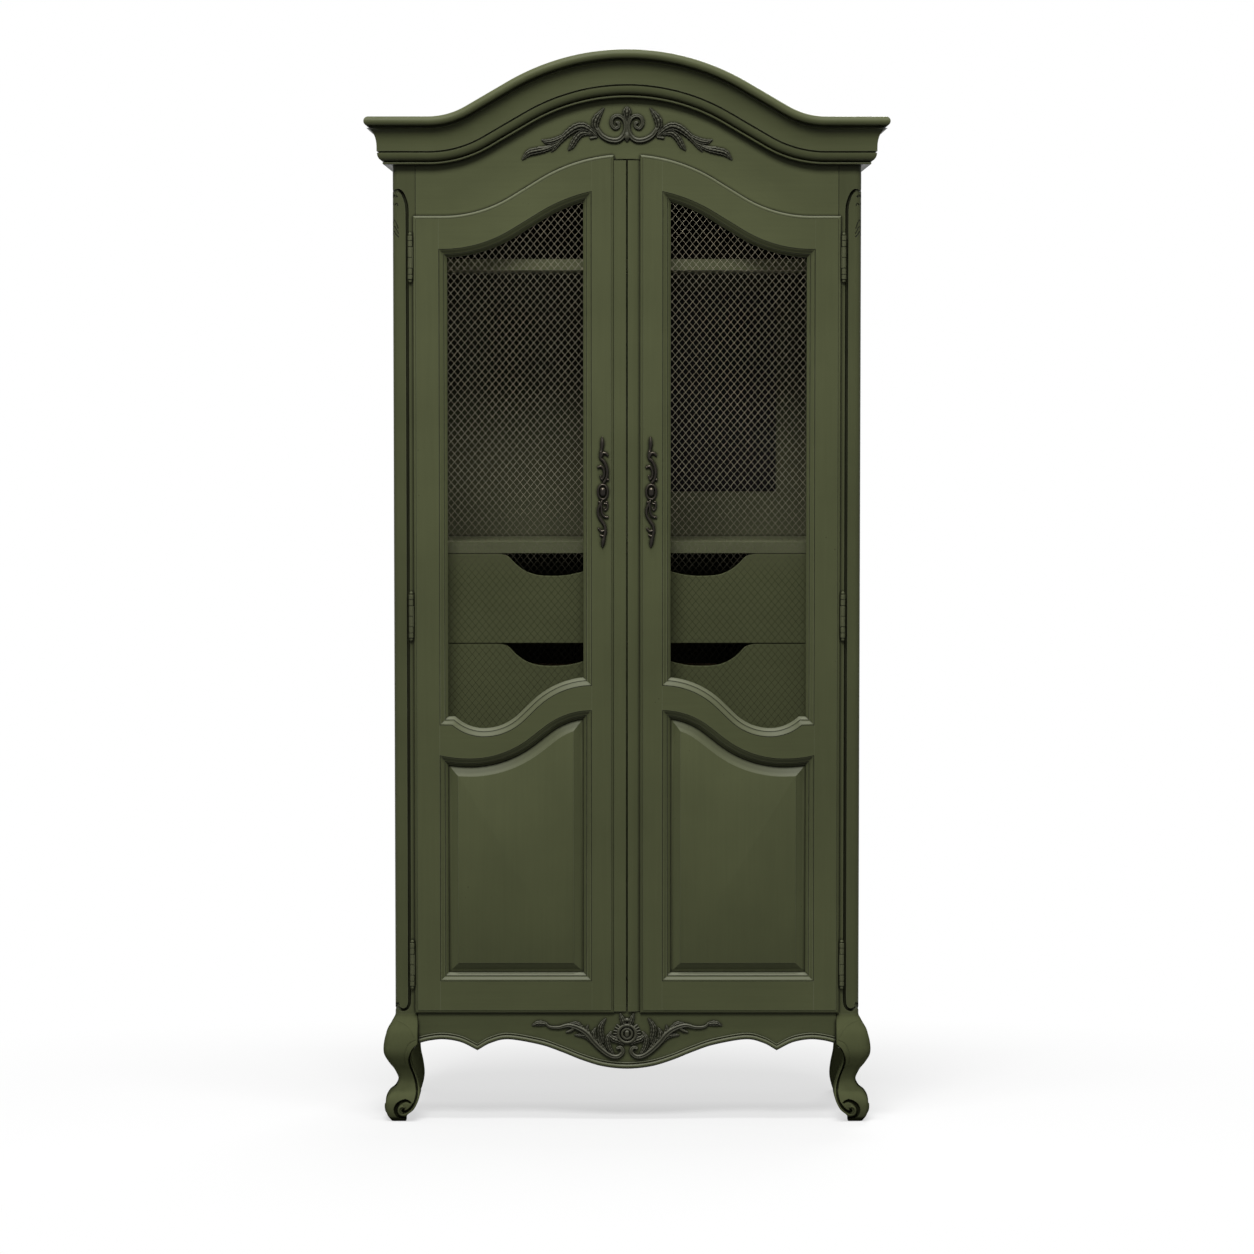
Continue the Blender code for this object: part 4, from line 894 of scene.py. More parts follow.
@dataclass(frozen=True)
class Relief:
    """An ornament modelled as heights over a fine grid, in millimetres, laid on a flat face."""

    strokes: Sequence[Stroke]
    cell: float
    mirrored: bool = True
    sink: float = 0.7

    def shape(self, centre: Point3) -> Shape:
        """The relief as a closed shape.

        Args:
            centre: Its middle on the face that carries it, in metres.

        Returns:
            The shape.
        """
        points = np.vstack([np.array(s.points, float) for s in self.strokes])
        reach = points[:, 2].max() + 2.0
        low, high = points[:, :2].min(axis=0) - reach, points[:, :2].max(axis=0) + reach
        if self.mirrored:
            low[0] = -high[0]
        count = np.ceil((high - low) / self.cell).astype(int) + 1
        across, up = np.meshgrid(
            np.linspace(low[0], high[0], count[0]), np.linspace(low[1], high[1], count[1]), indexing="ij"
        )
        top = np.full(across.shape, -1.0)
        for stroke in self.strokes:
            top = np.maximum(top, stroke.heights(np.abs(across) if self.mirrored else across, up))
        inside = top > 0.0
        cells = inside[:-1, :-1] | inside[1:, :-1] | inside[:-1, 1:] | inside[1:, 1:]
        used = np.zeros(inside.shape, bool)
        for i, j in ((0, 0), (1, 0), (0, 1), (1, 1)):
            used[i : i + cells.shape[0], j : j + cells.shape[1]] |= cells
        index = np.full(inside.shape, -1)
        index[used] = np.arange(used.sum())
        front = np.where(inside, top, -self.sink)[used]
        flat = np.stack([centre[0] + across[used] / 1000, centre[2] + up[used] / 1000])
        rows = [(x, centre[1] - h / 1000, z) for x, z, h in zip(*flat, front)]
        back = [(x, centre[1] + (self.sink + 0.3) / 1000, z) for x, z in zip(*flat)]
        size = len(rows)
        quads = [
            (index[i, j], index[i + 1, j], index[i + 1, j + 1], index[i, j + 1]) for i, j in zip(*np.nonzero(cells))
        ]
        edges: dict[tuple[int, int], tuple[int, int]] = {}
        for quad in quads:
            for a, b in zip(quad, quad[1:] + quad[:1]):
                edges[min(a, b), max(a, b)] = (0, 0) if (min(a, b), max(a, b)) in edges else (b, a)
        rim = [(a, b, b + size, a + size) for a, b in edges.values() if a != b]
        return Shape().add(rows + back, quads + [tuple(i + size for i in q[::-1]) for q in quads] + rim)


CROWN_STROKES = (
    Stroke(((0, 48, 1), (0, 37, 8), (0, 23, 3)), Section.LEAF, 1.5, 7.0),
    Stroke(((0, 3, 2), (0, -10, 6), (0, -19.5, 2)), Section.ROUND, 1.0),
    Stroke(((51, -7, 3.5), (63, 8, 6), (61, 24, 7), (46.5, 45, 1.5)), Section.LEAF, 0.8),
    Stroke(
        (
            (58, 2, 4), (50, -9, 4.6), (35, -17, 5), (18.3, -17.7, 5), (6.5, -8, 4.6), (2.3, 9, 4.2), (7, 24, 4),
            (18.3, 30.5, 3.8), (28, 26, 3.6), (31, 15, 3.4), (25, 6, 3.2), (17, 8.5, 3), (16.5, 15.5, 3), (20, 17, 3),
        ),
        Section.FLUTED,
        1.6,
    ),
    Stroke(
        ((61, -9, 3), (71.7, 1, 5), (86.7, 9, 7.5), (103, 6, 7.5), (122, -7.7, 6), (138, -25, 4)), Section.LEAF, 1.0
    ),
    Stroke(
        ((134, -22, 3.5), (158, -34, 5), (178, -38.7, 6.5), (195, -43, 6), (208, -55.5, 1.5)), Section.LEAF, 0.8, 8.0
    ),
    Stroke(((71, -5, 3), (90, -4, 6), (101.7, -15, 6), (109, -28, 5), (116, -37, 1.5)), Section.LEAF, 0.6, 8.0),
    Stroke(((121, -7, 3.5), (141.7, -17.7, 5.5), (157, -21, 5), (168.5, -17.5, 1.5)), Section.LEAF, 0.8, 8.0),
    Stroke(((127, -14, 3.2), (141.7, -30, 4), (150, -40.5, 1.2)), Section.LEAF, 0.4, 7.0),
    Stroke(((153, -30, 3), (166.7, -33.5, 3.5), (176, -31.5, 1.2)), Section.ROUND, 0.6),
    Stroke(((72, -13.7, 2.5), (61, -12, 2.2)), Section.ROUND, 0.5),
)
APRON_STROKES = (
    Stroke([(17.5 * sin(a), 17.5 * cos(a), 3.0) for a in steps(0.0, pi, 12)], Section.ROUND, 2.2),
    Stroke([(10 * sin(a), 10 * cos(a), 3.0) for a in steps(0.0, pi, 8)], Section.ROUND, 1.4),
    Stroke(((0, -3, 4.5), (0.5, 3, 4.5)), Section.ROUND, 1.6),
    Stroke(((0, 28, 4), (0.5, 28, 4)), Section.ROUND, 1.0),
    Stroke(((5, 16, 4.5), (9, 28, 5), (13, 39, 2)), Section.LEAF, 1.0, 7.0),
    *(
        Stroke(((20 * sin(a), 20 * cos(a), 2.6), (27 * sin(a), 27 * cos(a), 1.4)), Section.ROUND, 0.3)
        for a in steps(radians(48), radians(118), 5)
    ),
    Stroke(
        (
            (166, 22.9, 1.5), (156, 14.3, 2.5), (137.7, 12.9, 3), (117.7, 17, 4), (97.7, 11.4, 5), (80.6, 0, 5.5),
            (66.3, -17, 5.5), (49, -34, 5), (32, -45, 4.5), (17.7, -46, 4), (8.6, -37, 4), (12.6, -28, 3.5),
            (19.5, -29.5, 3),
        ),
        Section.FLUTED,
        1.4,
    ),
    Stroke(((191, 17, 1.2), (177.7, 21.5, 5), (163, 20, 3)), Section.LEAF, 0.6, 7.0),
    Stroke(((105, -2.5, 1.4), (83, -4.5, 5), (69, -17, 4)), Section.LEAF, 0.8, 7.0),
    Stroke(((105, 14, 3.5), (112, 7, 3.2), (122, 3, 1.4)), Section.ROUND, 0.8),
    Stroke(((114, 21.5, 1.4), (100.6, 20.5, 4), (88, 10, 3)), Section.LEAF, 0.8, 7.0),
    Stroke(((43, 30.5, 1.4), (52, 17, 5), (53.5, 3, 6), (49, -15, 4)), Section.LEAF, 1.0, 8.0),
    Stroke(((63, 12, 1.3), (67.5, 1, 4.5), (65.5, -12, 5), (58, -27, 3)), Section.LEAF, 1.2, 8.0),
    Stroke(((79, 17, 1.3), (81, 8, 4), (76, -4, 4.5), (66, -17, 3)), Section.LEAF, 1.0, 7.0),
    Stroke(((56, -4, 1.2), (57, -14, 4), (52, -25, 4.5), (43, -35, 3)), Section.LEAF, 0.9, 7.0),
    Stroke(((32, 3, 2.5), (39, -11.4, 5), (36.3, -28.6, 5), (29, -40, 3)), Section.LEAF, 0.8, 7.0),
    Stroke(((35, -4, 3.5), (26.3, -11, 6), (17.7, -14, 5), (9, -20, 3)), Section.LEAF, 0.8, 7.0),
)
HANDLE_STROKES = tuple(
    Stroke(points, Section.ROUND, lift)
    for lift, points in (
        (2.5, ((-1.7, 109, 0.86), (-1, 97, 3.61), (-2.2, 86, 2.24), (-3.6, 78, 2.58))),
        (2.5, ((-3.6, 71, 2.24), (0.5, 77.5, 2.06), (6, 77, 1.98), (9.8, 73, 1.72))),
        (
            3.0,
            (
                (-3.6, 80, 2.41), (-4.5, 68, 2.41), (2, 61, 2.41), (7, 51, 2.41), (9, 39, 2.41),
                (6.8, 27, 2.24), (2, 19, 2.24),
            ),
        ),
        (
            2.2,
            (
                (-9.7, 49, 1.72), (-3, 51, 2.24), (2.4, 43, 2.24), (2.4, 32, 2.06), (-2, 25, 1.89),
                (-4.8, 31.5, 1.55),
            ),
        ),
        (2.2, ((10.2, 24.4, 2.24), (10.4, 24.2, 2.24))),
        (2.4, [(9.6 * sin(a), 14.6 * cos(a), 1.9) for a in steps(0.0, 2 * pi, 20)]),
        (0.8, ((0, -3, 6.2), (0, 3, 6.2))),
        (1.8, ((-7.2, -20.6, 2.24), (-7.1, -20.5, 2.24))),
        (1.8, ((7.8, -20.6, 2.24), (7.7, -20.5, 2.24))),
        (
            3.0,
            (
                (-2.2, -19, 2.41), (-9, -34, 2.24), (-8.6, -47, 2.24), (-2.2, -58, 2.41), (4, -68, 2.41),
                (5.3, -79, 2.24),
            ),
        ),
        (2.2, ((-3, -22, 1.89), (-2.4, -40, 2.06), (2.8, -49, 2.06), (10.3, -50.6, 1.55))),
        (1.8, ((3, -23, 1.55), (9, -25, 1.55), (8.4, -33, 1.55), (4.5, -36.5, 1.55), (2.4, -32, 1.38))),
        (2.2, ((-8.4, -73, 1.55), (-3, -78.5, 2.06), (4.6, -77, 2.06))),
        (2.0, ((-4.7, -86.5, 1.38), (1.6, -88, 2.06), (6.6, -80, 1.72))),
        (2.4, ((4.6, -80, 2.24), (2.4, -92, 2.75), (0.2, -101, 3.61), (-1, -109.5, 1.2))),
    )
)


# ---- carcass ----


@dataclass(frozen=True)
class Cornice:
    """Moulding over the arch with mitred returns along the sides."""

    overhang: float = 0.054
    bead: float = 0.019
    quirk: float = 0.004
    cove: tuple[float, float] = (0.019, 0.0365)
    flat: float = 0.008
    ovolo: float = 0.0158
    ovolo_back: float = 0.0008
    fillet: Point2 = (0.0150, 0.0048)
    foot_out: float = 0.0034
    foot_gap: float = 0.0012
    arch: Ogee = Ogee(0.395, 0.132, 0.63, 0.76)

    def profile(self) -> Loop:
        """Closed section, as outwards and up from the upper edge: bead, cove, ovolo and fillet.

        Returns:
            The points of the section.
        """
        radius = self.bead / 2
        nose = self.overhang - radius
        bead = [(nose + radius * sin(a), radius * (cos(a) - 1)) for a in steps(0.0, pi, 14)]
        under = -self.bead - self.quirk
        cove_out = nose + self.quirk
        flat_out = cove_out - self.cove[0]
        cove = [
            (flat_out + self.cove[0] * (1 - sin(a)), under - self.cove[1] * (1 - cos(a)))
            for a in steps(0.0, pi / 2, 12)
        ]
        step = under - self.cove[1] - self.flat
        out, up = flat_out - self.ovolo_back, step - self.quirk
        ovolo = [
            (self.fillet[0] + (out - self.fillet[0]) * cos(a), up - self.ovolo * sin(a)) for a in steps(0.0, pi / 2, 12)
        ]
        notch = [
            (flat_out, step),
            (flat_out - self.quirk, step),
            (flat_out - self.quirk, up + 0.0004),
            (out - 0.0010, up + 0.0009),
        ]
        low = up - self.ovolo - self.foot_gap
        reach, half = self.fillet[0] + self.foot_out, self.fillet[1] / 2
        foot = [(self.fillet[0] - 0.002, low)]
        foot += [(reach - half * (1 - sin(a)), low - half * (1 - cos(a))) for a in steps(0.0, pi, 6)]
        foot.append((0.0, low - 2 * half))
        groove = [(nose - self.quirk, -self.bead), (nose - self.quirk, under)]
        return [(0.0, 0.0), *bead, *groove, *cove, *notch, *ovolo, *foot]

    def build(self) -> None:
        """Sweeps the section along the sides and over the arch."""
        profile, span = self.profile(), self.arch.span
        wall, face = HALF + GAP, FRONT - GAP
        sections = []
        for u in steps(-span, span, 144):
            nudge = span / 1000
            lean = atan((self.arch.height(u + nudge) - self.arch.height(u - nudge)) / (2 * nudge))
            lean = lean if abs(u) < span else 0.0
            top = HEIGHT + self.arch.height(u)
            sections.append([(u - up * sin(lean), face - out, top + up * cos(lean)) for out, up in profile])
        for side in (-1, 1):
            corner = [(side * (wall + out), face - out, HEIGHT + up) for out, up in profile]
            end = [(side * (wall + out), BACK, HEIGHT + up) for out, up in profile]
            sections = [end, corner, *sections] if side < 0 else [*sections, corner, end]
        made = Shape().loft(sections).object("arched_cornice")
        settle(made, CARCASS, CORNICE_PAINT.material(), ["cornice"])


@dataclass(frozen=True)
class FrontApron:
    """Scalloped rail between the front legs; beads are given as (radius, height over the edge, distance in front)."""

    top: float = 0.2170
    thickness: float = 0.022
    post: float = 0.4215
    cusp: Point2 = (0.1198, 0.1425)
    centre: float = 0.105
    end: float = 0.1565
    outer: Sequence[Point2] = ((0.0255, 0.1625), (0.0539, 0.1646), (0.0875, 0.1585))
    inner: Sequence[Point2] = (
        (0.908, 0.1575), (0.789, 0.1646), (0.578, 0.1535), (0.4375, 0.139), (0.2967, 0.122), (0.1558, 0.1095),
    )
    beads: Sequence[Point3] = ((0.0042, 0.0052, 0.0010), (0.0018, 0.0118, 0.0004))

    def edges(self) -> tuple[np.ndarray, np.ndarray]:
        """Lower edge from the middle to the cusp, and from the cusp to the post.

        Returns:
            Both lines, as rows of (distance from the middle, height).
        """
        run, low = self.post - self.cusp[0], self.cusp[1]
        wave = [(share * run, height) for share, height in reversed(self.inner)]
        wave = spline([(-wave[0][0], wave[0][1]), (0.0, self.centre), *wave, (run, low)], 12)[12:]
        ends = [(self.post - distance, height) for distance, height in reversed(self.outer)]
        return wave, spline([(run, low), *ends, (self.post - GAP, self.end)], 12)

    def build(self) -> None:
        """Builds the rail with its beads."""
        wave, end = self.edges()
        half = [tuple(p) for p in wave] + [tuple(p) for p in end[1:]]
        edge = [(-u, z) for u, z in half[:0:-1]] + half
        outline = edge + [(half[-1][0], self.top), (-half[-1][0], self.top)]
        shape = Shape().slab(outline, FRONT, FRONT + self.thickness)
        middle = np.vstack([wave[:0:-1] * (-1, 1), wave])
        for stretch in (middle, end[:-1], end[:-1] * (-1, 1)):
            for radius, up, out in self.beads:
                path = np.column_stack([stretch[:, 0], np.full(len(stretch), FRONT - out), stretch[:, 1] + up])
                shape.tube(path, radius)
        settle(shape.object("scalloped_apron"), CARCASS, APRON_PAINT.material(), ["front_apron"])


@dataclass(frozen=True)
class CarvedLine:
    """A bead, or a groove where rise is below 0: points of (across, up, half-width) in metres."""

    points: Sequence[tuple[float, float, float]]
    rise: float

    def height(self, across: np.ndarray, up: np.ndarray) -> np.ndarray:
        """How far the line lifts each place.

        Args:
            across: Distances from the outer face.
            up: Heights above the floor.

        Returns:
            One height for each place, 0 beside the line.
        """
        line = spline(self.points, 8)
        near = np.ones(across.shape)
        for a, b in zip(line, line[1:]):
            run, rise = b[:2] - a[:2]
            t = np.clip(((across - a[0]) * run + (up - a[1]) * rise) / (run * run + rise * rise), 0.0, 1.0)
            away = np.hypot(across - a[0] - t * run, up - a[1] - t * rise)
            near = np.minimum(near, away / (a[2] + (b[2] - a[2]) * t))
        return self.rise * np.sqrt(1.0 - near**2)


@dataclass(frozen=True)
class FrontPost:
    """Corner post with grooved faces and a cabriole leg that ends in a scroll foot."""

    top: float = 1.9847
    knee: float = 0.2165
    rounding: float = 0.011
    groove: float = 0.0034
    groove_deep: float = 0.0060
    nick: float = 0.0016
    chamfer: float = 0.001
    stagger: float = 0.0004
    ease: float = 0.0035
    corners: Sequence[Point2] = (
        (0.0, 0.007), (0.03, 0.011), (0.067, 0.010), (0.10, 0.013), (0.155, 0.021), (0.19, 0.017), (0.2165, 0.011),
    )
    outer: Sequence[Point2] = (
        (0.0, 0.2165), (0.0016, 0.2100), (0.0085, 0.197), (0.018, 0.179), (0.0235, 0.155), (0.0225, 0.136),
        (0.013, 0.118), (0.002, 0.102), (-0.0055, 0.082), (-0.001, 0.067), (0.011, 0.056), (0.0185, 0.042),
        (0.0195, 0.026), (0.016, 0.012), (0.008, 0.0),
    )
    inner: Sequence[Point2] = (
        (0.0215, 0.0), (0.0235, 0.012), (0.039, 0.027), (0.0495, 0.055), (0.0425, 0.086), (0.033, 0.114),
        (0.0315, 0.134), (0.0375, 0.149), (0.0455, 0.1565),
    )
    groove_line: Sequence[Point2] = (
        (0.0005, 0.2375), (0.0050, 0.2310), (0.0110, 0.2262), (0.0180, 0.2248), (0.0245, 0.2288), (0.0282, 0.2378),
        *((0.0290, height) for height in (0.2520, 0.27, 0.31, 0.39, 0.55, 0.8, 1.2, 1.5, 1.66, 1.74, 1.78, 1.808)),
        (0.0285, 1.836),
        (0.0245, 1.852), (0.0195, 1.8630), (0.0135, 1.8685), (0.0075, 1.8685), (0.0040, 1.8650), (0.0035, 1.8595),
        (0.0065, 1.8570), (0.0085, 1.8590),
    )
    nicks: Sequence[Sequence[Point2]] = (
        ((0.0040, 1.840), (0.0085, 1.843), (0.0105, 1.838)),
        ((0.0035, 1.811), (0.0075, 1.803), (0.0110, 1.793)),
        ((0.0040, 1.798), (0.0075, 1.791), (0.0120, 1.783)),
        ((0.0035, 1.788), (0.0070, 1.781), (0.0120, 1.776)),
    )
    carving: Sequence[CarvedLine] = (
        CarvedLine(
            (
                (0.0480, 0.1545, 0.0014), (0.0393, 0.1478, 0.0016), (0.0340, 0.1355, 0.0020), (0.0325, 0.1231, 0.0024),
                (0.0358, 0.1075, 0.0026), (0.0418, 0.0896, 0.0026), (0.0462, 0.0716, 0.0026), (0.0478, 0.0560, 0.0026),
                (0.0449, 0.0403, 0.0028), (0.0377, 0.0273, 0.0028), (0.0281, 0.0180, 0.0026), (0.0196, 0.0139, 0.0025),
                (0.0115, 0.0148, 0.0025), (0.0070, 0.0206, 0.0025), (0.0082, 0.0278, 0.0025), (0.0138, 0.0313, 0.0022),
                (0.0187, 0.0296, 0.0016),
            ),
            0.0030,
        ),
        CarvedLine(
            (
                (0.0480, 0.1580, 0.0016), (0.0370, 0.1480, 0.0019), (0.0310, 0.1355, 0.0021), (0.0288, 0.1231, 0.0022),
                (0.0317, 0.1075, 0.0022), (0.0378, 0.0896, 0.0022), (0.0423, 0.0716, 0.0022), (0.0436, 0.0560, 0.0022),
                (0.0405, 0.0420, 0.0022), (0.0335, 0.0306, 0.0022), (0.0254, 0.0230, 0.0024), (0.0184, 0.0203, 0.0026),
                (0.0150, 0.0232, 0.0022), (0.0172, 0.0262, 0.0014),
            ),
            -0.0056,
        ),
        CarvedLine(
            (
                (0.0308, 0.0385, 0.0012), (0.0225, 0.0425, 0.0028), (0.0124, 0.0400, 0.0036), (0.0042, 0.0330, 0.0038),
                (0.0012, 0.0240, 0.0036), (0.0030, 0.0150, 0.0030), (0.0091, 0.0099, 0.0024), (0.0202, 0.0085, 0.0012),
            ),
            -0.0075,
        ),
        CarvedLine(
            (
                (0.0420, 0.1660, 0.0010), (0.0290, 0.1590, 0.0012), (0.0215, 0.1440, 0.0012), (0.0190, 0.1290, 0.0011),
                (0.0205, 0.1160, 0.0006),
            ),
            -0.0007,
        ),
        CarvedLine(
            (
                (0.0012, 0.2042, 0.0008), (0.0169, 0.1988, 0.0011), (0.0303, 0.1881, 0.0011), (0.0393, 0.1724, 0.0007),
            ),
            0.0006,
        ),
    )

    def on_face(self, line: Sequence[Point2], count: int) -> np.ndarray:
        """A path over the front face and its round corner.

        Args:
            line: Points of (distance from the outer face, height).
            count: Steps between two points.

        Returns:
            Rows of (distance from the outer face, distance behind the front face, height).
        """
        across, height = spline(line, count).T
        short = np.clip(self.rounding - across, 0.0, self.rounding)
        return np.column_stack([across, self.rounding - np.sqrt(self.rounding**2 - short**2), height])

    def cutter(self, line: Sequence[Point2], radius: float, side: int, deep: float = 0.0) -> Shape:
        """A tool that follows a line on the front face and its twin on the side face.

        Args:
            line: Points of (distance from the outer face, height).
            radius: Half its width.
            side: -1 for the left post and 1 for the right one.
            deep: How much further it cuts on the flat of the face.

        Returns:
            The tool.
        """
        tube = Shape().tube(self.on_face(line, 8), radius, 8)
        across, behind, height = np.array(tube.verts).T
        flat = np.clip((across - self.rounding) / (2 * radius), 0.0, 1.0) * (behind > radius / 4)
        rows = np.column_stack([across, behind + deep * flat, height])
        shape = Shape().add([(side * (HALF - a), FRONT + b, z) for a, b, z in rows], tube.faces)
        return shape.add([(side * (HALF - b), FRONT + a, z + self.stagger) for a, b, z in rows], tube.faces)

    def shaft(self, name: str, side: int) -> bpy.types.Object:
        """The square part with its round corner, grooves and nicks.

        Args:
            name: Its name.
            side: -1 for the left one and 1 for the right one.

        Returns:
            The shaft.
        """
        centre = (HALF - self.rounding, FRONT + self.rounding)
        arc = [(centre[0] + self.rounding * cos(a), centre[1] - self.rounding * sin(a)) for a in steps(0, pi / 2, 10)]
        far, back = HALF - POST, FRONT + POST
        plan = [(HALF, back), *arc, (far + self.chamfer, FRONT), (far, FRONT + self.chamfer), (far, back)]
        made = Shape().loft([[(side * x, y, z) for x, y in plan] for z in (self.knee, self.top)]).object(name)
        tools = [self.cutter(self.groove_line, self.groove, side, self.groove_deep).object(name + "_groove")]
        for i, line in enumerate(self.nicks):
            tools.append(self.cutter(line, self.nick, side).object(f"{name}_nick_{i}"))
        return cut(made, tools)

    def plan(self, near: float, far: float, corner: float) -> np.ndarray:
        """A square section of the leg with a round show corner.

        Args:
            near: Where its outer faces lie, behind the post's faces.
            far: Where its inner faces lie.
            corner: Radius of the show corner.

        Returns:
            Rows of (distance from the outer face, distance behind the front face).
        """
        arcs: list[np.ndarray] = []
        corners = ((near, near, 1, 1), (far, near, -1, 1), (far, far, -1, -1), (near, far, 1, -1))
        for i, (a, b, *inwards) in enumerate(corners):
            radius = self.ease if i else corner
            angles = pi + i * pi / 2 + np.linspace(0.0, pi / 2, 14)
            round_off = np.column_stack([np.cos(angles), np.sin(angles)])
            arcs.append(np.array((a, b)) + radius * np.array(inwards) + radius * round_off)
        share = np.linspace(0.0, 1.0, 38)[1:-1, None]
        ring = []
        for arc, ahead in zip(arcs, arcs[1:] + arcs[:1]):
            ring += [arc, arc[-1] + (ahead[0] - arc[-1]) * share]
        return np.vstack(ring)

    def leg(self, name: str, side: int) -> bpy.types.Object:
        """The leg below the knee, shaped to its outline on all four faces and carved.

        Args:
            name: Its name.
            side: -1 for the left one and 1 for the right one.

        Returns:
            The leg.
        """
        outer, inner = spline(self.outer, 8)[::-1], spline(self.inner, 8)
        corner = np.array(self.corners)
        rings = []
        for z in steps(0.0, self.knee, 210):
            near = -np.interp(z, outer[:, 1], outer[:, 0])
            far = np.interp(z, inner[:, 1], inner[:, 0], right=POST)
            plan = self.plan(near, far, np.interp(z, corner[:, 0], corner[:, 1]))
            rings.append([(side * (HALF - a), FRONT + b, z) for a, b in plan])
        made = Shape().loft(rings).object(name)
        self.carve(made.data, side)
        return made

    def carve(self, mesh: bpy.types.Mesh, side: int) -> None:
        """Presses the carved lines into the two show faces of a leg.

        Args:
            mesh: The leg, finely divided.
            side: -1 for the left leg and 1 for the right one.
        """
        place, facing = np.empty(len(mesh.vertices) * 3), np.empty(len(mesh.vertices) * 3)
        mesh.vertices.foreach_get("co", place)
        mesh.vertices.foreach_get("normal", facing)
        place, facing = place.reshape(-1, 3), facing.reshape(-1, 3)
        shift = np.zeros_like(place)
        for across, turned, outwards in (
            (HALF - side * place[:, 0], -facing[:, 1], (0.0, -1.0, 0.0)),
            (place[:, 1] - FRONT, side * facing[:, 0], (float(side), 0.0, 0.0)),
        ):
            shown = np.clip((turned - 0.2) / 0.3, 0.0, 1.0)
            rise = sum(line.height(across, place[:, 2]) for line in self.carving)
            shift += np.outer(rise * shown, outwards)
        mesh.vertices.foreach_set("co", (place + shift).ravel())
        mesh.update()

    def build(self) -> None:
        """Builds both posts."""
        for word, side in SIDES:
            shaft = self.shaft(f"post_shaft_{word}", side)
            leg = self.leg(f"cabriole_leg_{word}", side)
            settle(shaft, CARCASS, UPRIGHT_PAINT.material(), [f"front_post_{word}"])
            settle(leg, CARCASS, LEG_PAINT.material(), sharp=75.0)


@dataclass(frozen=True)
class RearPost:
    """Plain corner post, flat at the back, whose leg curves less than the front one."""

    top: float = 1.9847
    knee: float = 0.2165
    corner: float = 0.005
    outer: Sequence[Point2] = (
        (0.0, 0.2165), (0.0012, 0.206), (0.006, 0.185), (0.009, 0.160), (0.0055, 0.128), (-0.002, 0.098),
        (-0.0045, 0.076), (-0.0015, 0.056), (0.003, 0.036), (0.0035, 0.018), (0.001, 0.0),
    )
    inner: Sequence[Point2] = (
        (0.0330, 0.0), (0.0385, 0.016), (0.0415, 0.036), (0.0390, 0.062), (0.0340, 0.088), (0.0335, 0.112),
        (0.0375, 0.138), (0.0455, 0.1565),
    )

    def build(self) -> None:
        """Builds both posts."""
        outer, inner = spline(self.outer, 8)[::-1], spline(self.inner, 8)
        for word, side in SIDES:
            rings = []
            for z in [*steps(0.0, self.knee, 120), self.top]:
                near = -np.interp(z, outer[:, 1], outer[:, 0], right=0.0)
                far = np.interp(z, inner[:, 1], inner[:, 0], right=POST)
                plan = FrontPost().plan(near, far, self.corner)
                flush = max(near, 0.0)
                squeeze = (far - flush) / (far - near)
                rings.append([(side * (HALF - a), BACK - flush - (b - near) * squeeze, z) for a, b in plan])
            made = Shape().loft(rings).object(f"rear_post_and_leg_{word}")
            settle(made, CARCASS, LEG_PAINT.material(), [f"rear_post_{word}"], sharp=60.0)


# ---- doors ----


